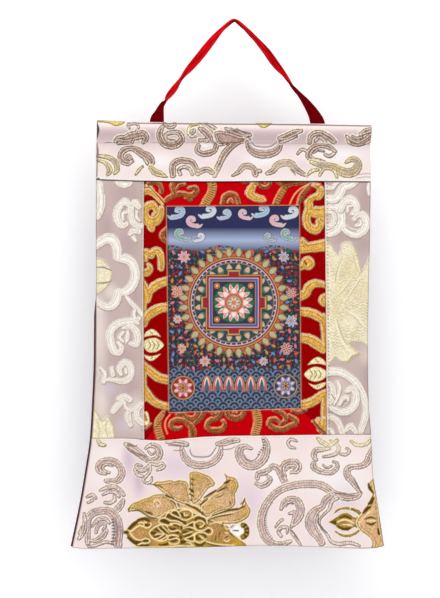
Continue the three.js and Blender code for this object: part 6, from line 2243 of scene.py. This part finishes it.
mesh, u, v, in_front = cut_cloth("heading_cloth", fine=HEADING_CELLS, coarse=(60, 60))
_, middle_down = heading_middle(0 * u, v)
sleeve_part = np.clip((v - FRONT_SHARE) / (0.8 * (ROUND_SHARE - FRONT_SHARE)), 0, 1)
dip = SLEEVE_END_DIP * np.sin(np.pi * sleeve_part) ** 2
x = (left_edge(middle_down) + dip) * (1 - u) + right_edge(middle_down) * u
y, down = heading_middle(x, v)
y_after, down_after = heading_middle(x, np.minimum(v + NEXT_ROW, 1))
y_before, down_before = heading_middle(x, np.maximum(v - NEXT_ROW, 0))
run_y, run_up = y_after - y_before, down_before - down_after
run = np.hypot(run_y, run_up)
out_y, out_up = -run_up / run, run_y / run
cloth = woven(draw_heading, IVORY_GROUND)(x, down)
hem_away = heading_hem(x) + LAP - down
on_front = v < FRONT_SHARE
# painted highlight along the front of the hem's fold
strength, width, fade = HEM_HIGHLIGHT
crest_highlight = strength * on_front * np.clip((width - hem_away) / fade, 0, 1)
cloth.cover(cloth.everywhere, crest_highlight, HEM_HIGHLIGHT_WHITE, 0.0)
lift = cloth.height + FOLD_LIFT * smooth(FOLD_SHOULDER - hem_away / FOLD_WIDTH) * on_front
first, last = PUCKER_ROWS
lift += pucker(x, down - stitch_line(x)) * smooth((v - first) / 0.05) * smooth((last - v) / 0.1)
half = np.where(in_front, HEADING_THICK / 2 + lift, -HEADING_THICK / 2)
y = y + out_y * half
z = -down + out_up * half
masks = (("figure", cloth.figure), ("gold", cloth.gold))
heading = finish_cloth(mesh, (x, y, z), x, v * HEADING_LONG, ivory_brocade, cloth.dye, masks)
front = front_rows(x, y, z, HEADING_CELLS)
sleeve_seam = front[int(round(FRONT_SHARE * HEADING_CELLS[1]))]
pink_thread = thread_material("pink_thread", (224, 190, 180))
sew("sleeve_stitches", (sleeve_seam,), pink_thread, thick=0.5)
sew("hem_stitches", (beside(front, "bottom", STITCH_IN),), cream_thread, thick=0.5)
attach(heading, "root")
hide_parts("heading")

# Ribbon
# A loop of 15 mm single faced satin ribbon. Its tails are sewn to the back of the sleeve with the dull
# side out; it twists edge on above them and turns over at the peak, where a nail holds it.
RIBBON_ROUTE = (  # x, down, back, turn: 90 edge on, less with the shiny side forward, 180 the dull side
    (-84.7, 135, 5.25, 180), (-84.8, 117.5, 5.25, 180), (-84.3, 112, 5.1, 162), (-82.2, 105.5, 4.7, 130),
    (-80.4, 99.5, 4.4, 112), (-78, 94, 4.0, 98), (-72.6, 87, 3.6, 64), (-65.2, 77.6, 3.2, 59),
    (-58.6, 67.4, 2.8, 73), (-50.4, 58, 2.4, 57), (-37.6, 43, 1.8, 50), (-24.5, 26.4, 1.2, 54),
    (-9.5, 9.6, 0.4, 71), (0, 3.1, 0, 75), (9.8, 10.2, 0.4, 70), (22.8, 23.8, 1.2, 62),
    (34.6, 37.2, 1.8, 53), (45.6, 52.2, 2.4, 52), (56.2, 64.6, 2.8, 67), (65.6, 76.4, 3.3, 86),
    (71.4, 84.2, 3.7, 99), (77.4, 91.8, 4.1, 112), (83.2, 99.8, 4.5, 125), (88, 108, 4.9, 142),
    (91.3, 116, 5.2, 174), (91.9, 120, 5.25, 180), (95, 135, 5.25, 180),
)
RIBBON_WIDTH = 15.5
RIBBON_THICK = 0.5
RIBBON_CUP = 1.2
TWIST_CUP = 3.4  # deeper hollow where the ribbon is seen edge on, within this many degrees
TWIST_RANGE = 20
PLEATS = ((0.5, 15, 22), (0.34, 27, -37), (0.34, 9, 90))  # height, waves across and along
RIBBON_STEPS = 420
RIBBON_ACROSS = 20
RIBBON_LONG = 330.0


def smooth_route(rows, steps):
    """Points of a smooth line through the rows, evenly spaced along it, with every column carried."""
    rows = np.array(rows, float)
    spans = np.linalg.norm(np.diff(rows[:, :3], axis=0), axis=1)
    at = np.concatenate(([0], np.cumsum(spans)))
    columns = [line_through(list(zip(at, rows[:, k]))) for k in range(rows.shape[1])]
    places = np.linspace(0, at[-1], steps)
    return np.column_stack([column(places) for column in columns])


def satin_material():
    """Red satin: long glossy floats on the shiny side, dull and darker on the back."""
    material, tree, shader = new_material("red_satin")
    height, shade, _ = place_threads(tree, warp=0.25, weft=0.5, float_length=8.0)
    dull = mask_socket(tree, "dull")
    dye = mix_colour(tree, dull, paint(206, 4, 22), paint(122, 2, 16))
    tinted = mix_colour(tree, math_node(tree, "MULTIPLY", shade, 0.3), dye, paint(150, 0, 8))
    tree.links.new(tinted, shader.inputs["Base Color"])
    tree.links.new(math_node(tree, "MULTIPLY_ADD", dull, 0.35, 0.3), shader.inputs["Roughness"])
    set_inputs(shader, {"Specular IOR Level": 0.05, "Specular Tint": (1.0, 0.1, 0.1, 1)})
    set_inputs(shader, {"Metallic": 0.7, "Anisotropic": 0.6})
    bump(tree, shader, height, strength=0.2, distance=0.0001)
    return material


ribbon_cells = (RIBBON_ACROSS, RIBBON_STEPS)
mesh, u, v, in_front = cut_cloth("ribbon_satin", fine=ribbon_cells, coarse=ribbon_cells)
route = smooth_route(RIBBON_ROUTE, RIBBON_STEPS + 1)
middle = np.column_stack((route[:, 0], route[:, 2], -route[:, 1]))
tangent = np.gradient(middle, axis=0)
tangent /= np.linalg.norm(tangent, axis=1)[:, None]
backward = np.array((0.0, 1.0, 0.0))
out_of_loop = np.cross(tangent, backward)
out_of_loop /= np.linalg.norm(out_of_loop, axis=1)[:, None]
turn = np.radians(route[:, 3])[:, None]
across = out_of_loop * np.cos(turn) + backward * np.sin(turn)
across -= tangent * np.sum(across * tangent, axis=1)[:, None]
across /= np.linalg.norm(across, axis=1)[:, None]
outward = np.cross(across, tangent)
station = np.rint(v * RIBBON_STEPS).astype(int)
offcut = (u - 0.5) * RIBBON_WIDTH
edge_on = np.exp(-(((route[station, 3] - 90) / TWIST_RANGE) ** 2))
hollow = (RIBBON_CUP + (TWIST_CUP - RIBBON_CUP) * edge_on) * np.sin(np.pi * v) ** 0.5
pleats = sum(height * np.sin(across_waves * u + waves * v) for height, across_waves, waves in PLEATS)
bow = hollow * (1 - (2 * u - 1) ** 2) + pleats * np.sin(np.pi * v) ** 0.7 * np.sin(np.pi * u)
half = np.where(in_front, RIBBON_THICK / 2, -RIBBON_THICK / 2) + bow
points = middle[station] + across[station] * offcut[:, None] + outward[station] * half[:, None]
masks = (("dull", 1.0 * in_front),)
ribbon = finish_cloth(mesh, points.T, offcut, v * RIBBON_LONG, satin_material(), masks=masks)
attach(ribbon, "root")
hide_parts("ribbon")

# Studio
# A white paper wall hangs close behind the scroll and pale paper lies below it. The light is soft,
# from the upper left, with fill from the right and below, and the camera looks straight at the wall.
WALL_DEPTH = 75
FLOOR_DOWN = 720
STAGE_SIZE = 8000
WALL_GLOW = 0.2  # light that the white wall passes on from behind
LENS = 85.0
SENSOR = 36.0
VIEW_HEIGHT = 0.652  # metres of the hanging plane that fill the picture's height
AXIS_X = -0.0156
AXIS_Z = -0.308


def paper_material(name, open_back):
    """Matt white paper; the wall's is clear from behind, so that the back can be seen."""
    material, tree, shader = new_material(name)
    noise = tree.nodes.new("ShaderNodeTexNoise")
    noise.inputs["Scale"].default_value = 3.0
    white = mix_colour(tree, noise.outputs[0], paint(250, 250, 252), (0.98, 0.98, 0.98, 1))
    tree.links.new(white, shader.inputs["Base Color"])
    set_inputs(shader, {"Roughness": 0.9})
    if open_back:
        set_inputs(shader, {"Emission Color": (1, 1, 1, 1), "Emission Strength": WALL_GLOW})
        clear = tree.nodes.new("ShaderNodeBsdfTransparent")
        mix = tree.nodes.new("ShaderNodeMixShader")
        side = tree.nodes.new("ShaderNodeNewGeometry")
        tree.links.new(side.outputs["Backfacing"], mix.inputs[0])
        tree.links.new(shader.outputs[0], mix.inputs[1])
        tree.links.new(clear.outputs[0], mix.inputs[2])
        output = next(node for node in tree.nodes if node.type == "OUTPUT_MATERIAL")
        tree.links.new(mix.outputs[0], output.inputs[0])
    return material


def stage_sheet(name, width, height, middle, tilt, open_back):
    """One large flat sheet of paper of the stage, tilted up from level."""
    bm = bmesh.new()
    place = Matrix.Translation(Vector(middle) * MM) @ Matrix.Rotation(math.radians(tilt), 4, "X")
    size = Matrix.Diagonal((width * MM, height * MM, 1, 1))
    bmesh.ops.create_grid(bm, x_segments=1, y_segments=1, size=0.5, matrix=place @ size)
    mesh = mesh_from(bm, name)
    mesh.materials.append(paper_material(name + "_paper", open_back))
    add_object(name, mesh)


wall_height = STAGE_SIZE / 2 + FLOOR_DOWN
stage_sheet("wall", STAGE_SIZE, wall_height, (0, WALL_DEPTH, wall_height / 2 - FLOOR_DOWN), 90, True)
stage_sheet("floor", STAGE_SIZE, STAGE_SIZE, (0, 0, -FLOOR_DOWN), 0, False)


def softbox(name, place, aim, size, power):
    """Rectangular lamp of the given width and height in metres, aimed at a point."""
    lamp = bpy.data.lights.new(name, "AREA")
    lamp.shape = "RECTANGLE"
    lamp.size, lamp.size_y = size
    lamp.energy = power
    light = add_object(name, lamp)
    light.location = place
    light.rotation_euler = (Vector(aim) - Vector(place)).to_track_quat("-Z", "Y").to_euler()


MIDDLE = (-0.01, 0.0, -0.32)
softbox("key_light", (-0.4, -1.2, 1.6), MIDDLE, (2.6, 1.6), 33)
softbox("fill_light", (1.3, -1.8, 0.3), MIDDLE, (1.4, 1.4), 9)
softbox("low_light", (-0.5, -1.9, -1.1), MIDDLE, (2.4, 1.2), 12)
softbox("back_light", (0.4, 1.8, 0.8), MIDDLE, (1.6, 1.6), 20)
world = bpy.data.worlds.new("white_room")
world.use_nodes = True
set_inputs(world.node_tree.nodes["Background"], {"Color": (0.97, 0.98, 1.0, 1), "Strength": 0.32})
bpy.context.scene.world = world
bpy.context.scene.view_settings.view_transform = "Standard"

camera_data = bpy.data.cameras.new("camera")
camera_data.lens = LENS
camera_data.sensor_width = SENSOR
camera = add_object("camera", camera_data)
camera.location = (AXIS_X, -VIEW_HEIGHT * LENS / SENSOR, AXIS_Z)
camera.rotation_euler = (math.pi / 2, 0, 0)
bpy.context.scene.camera = camera
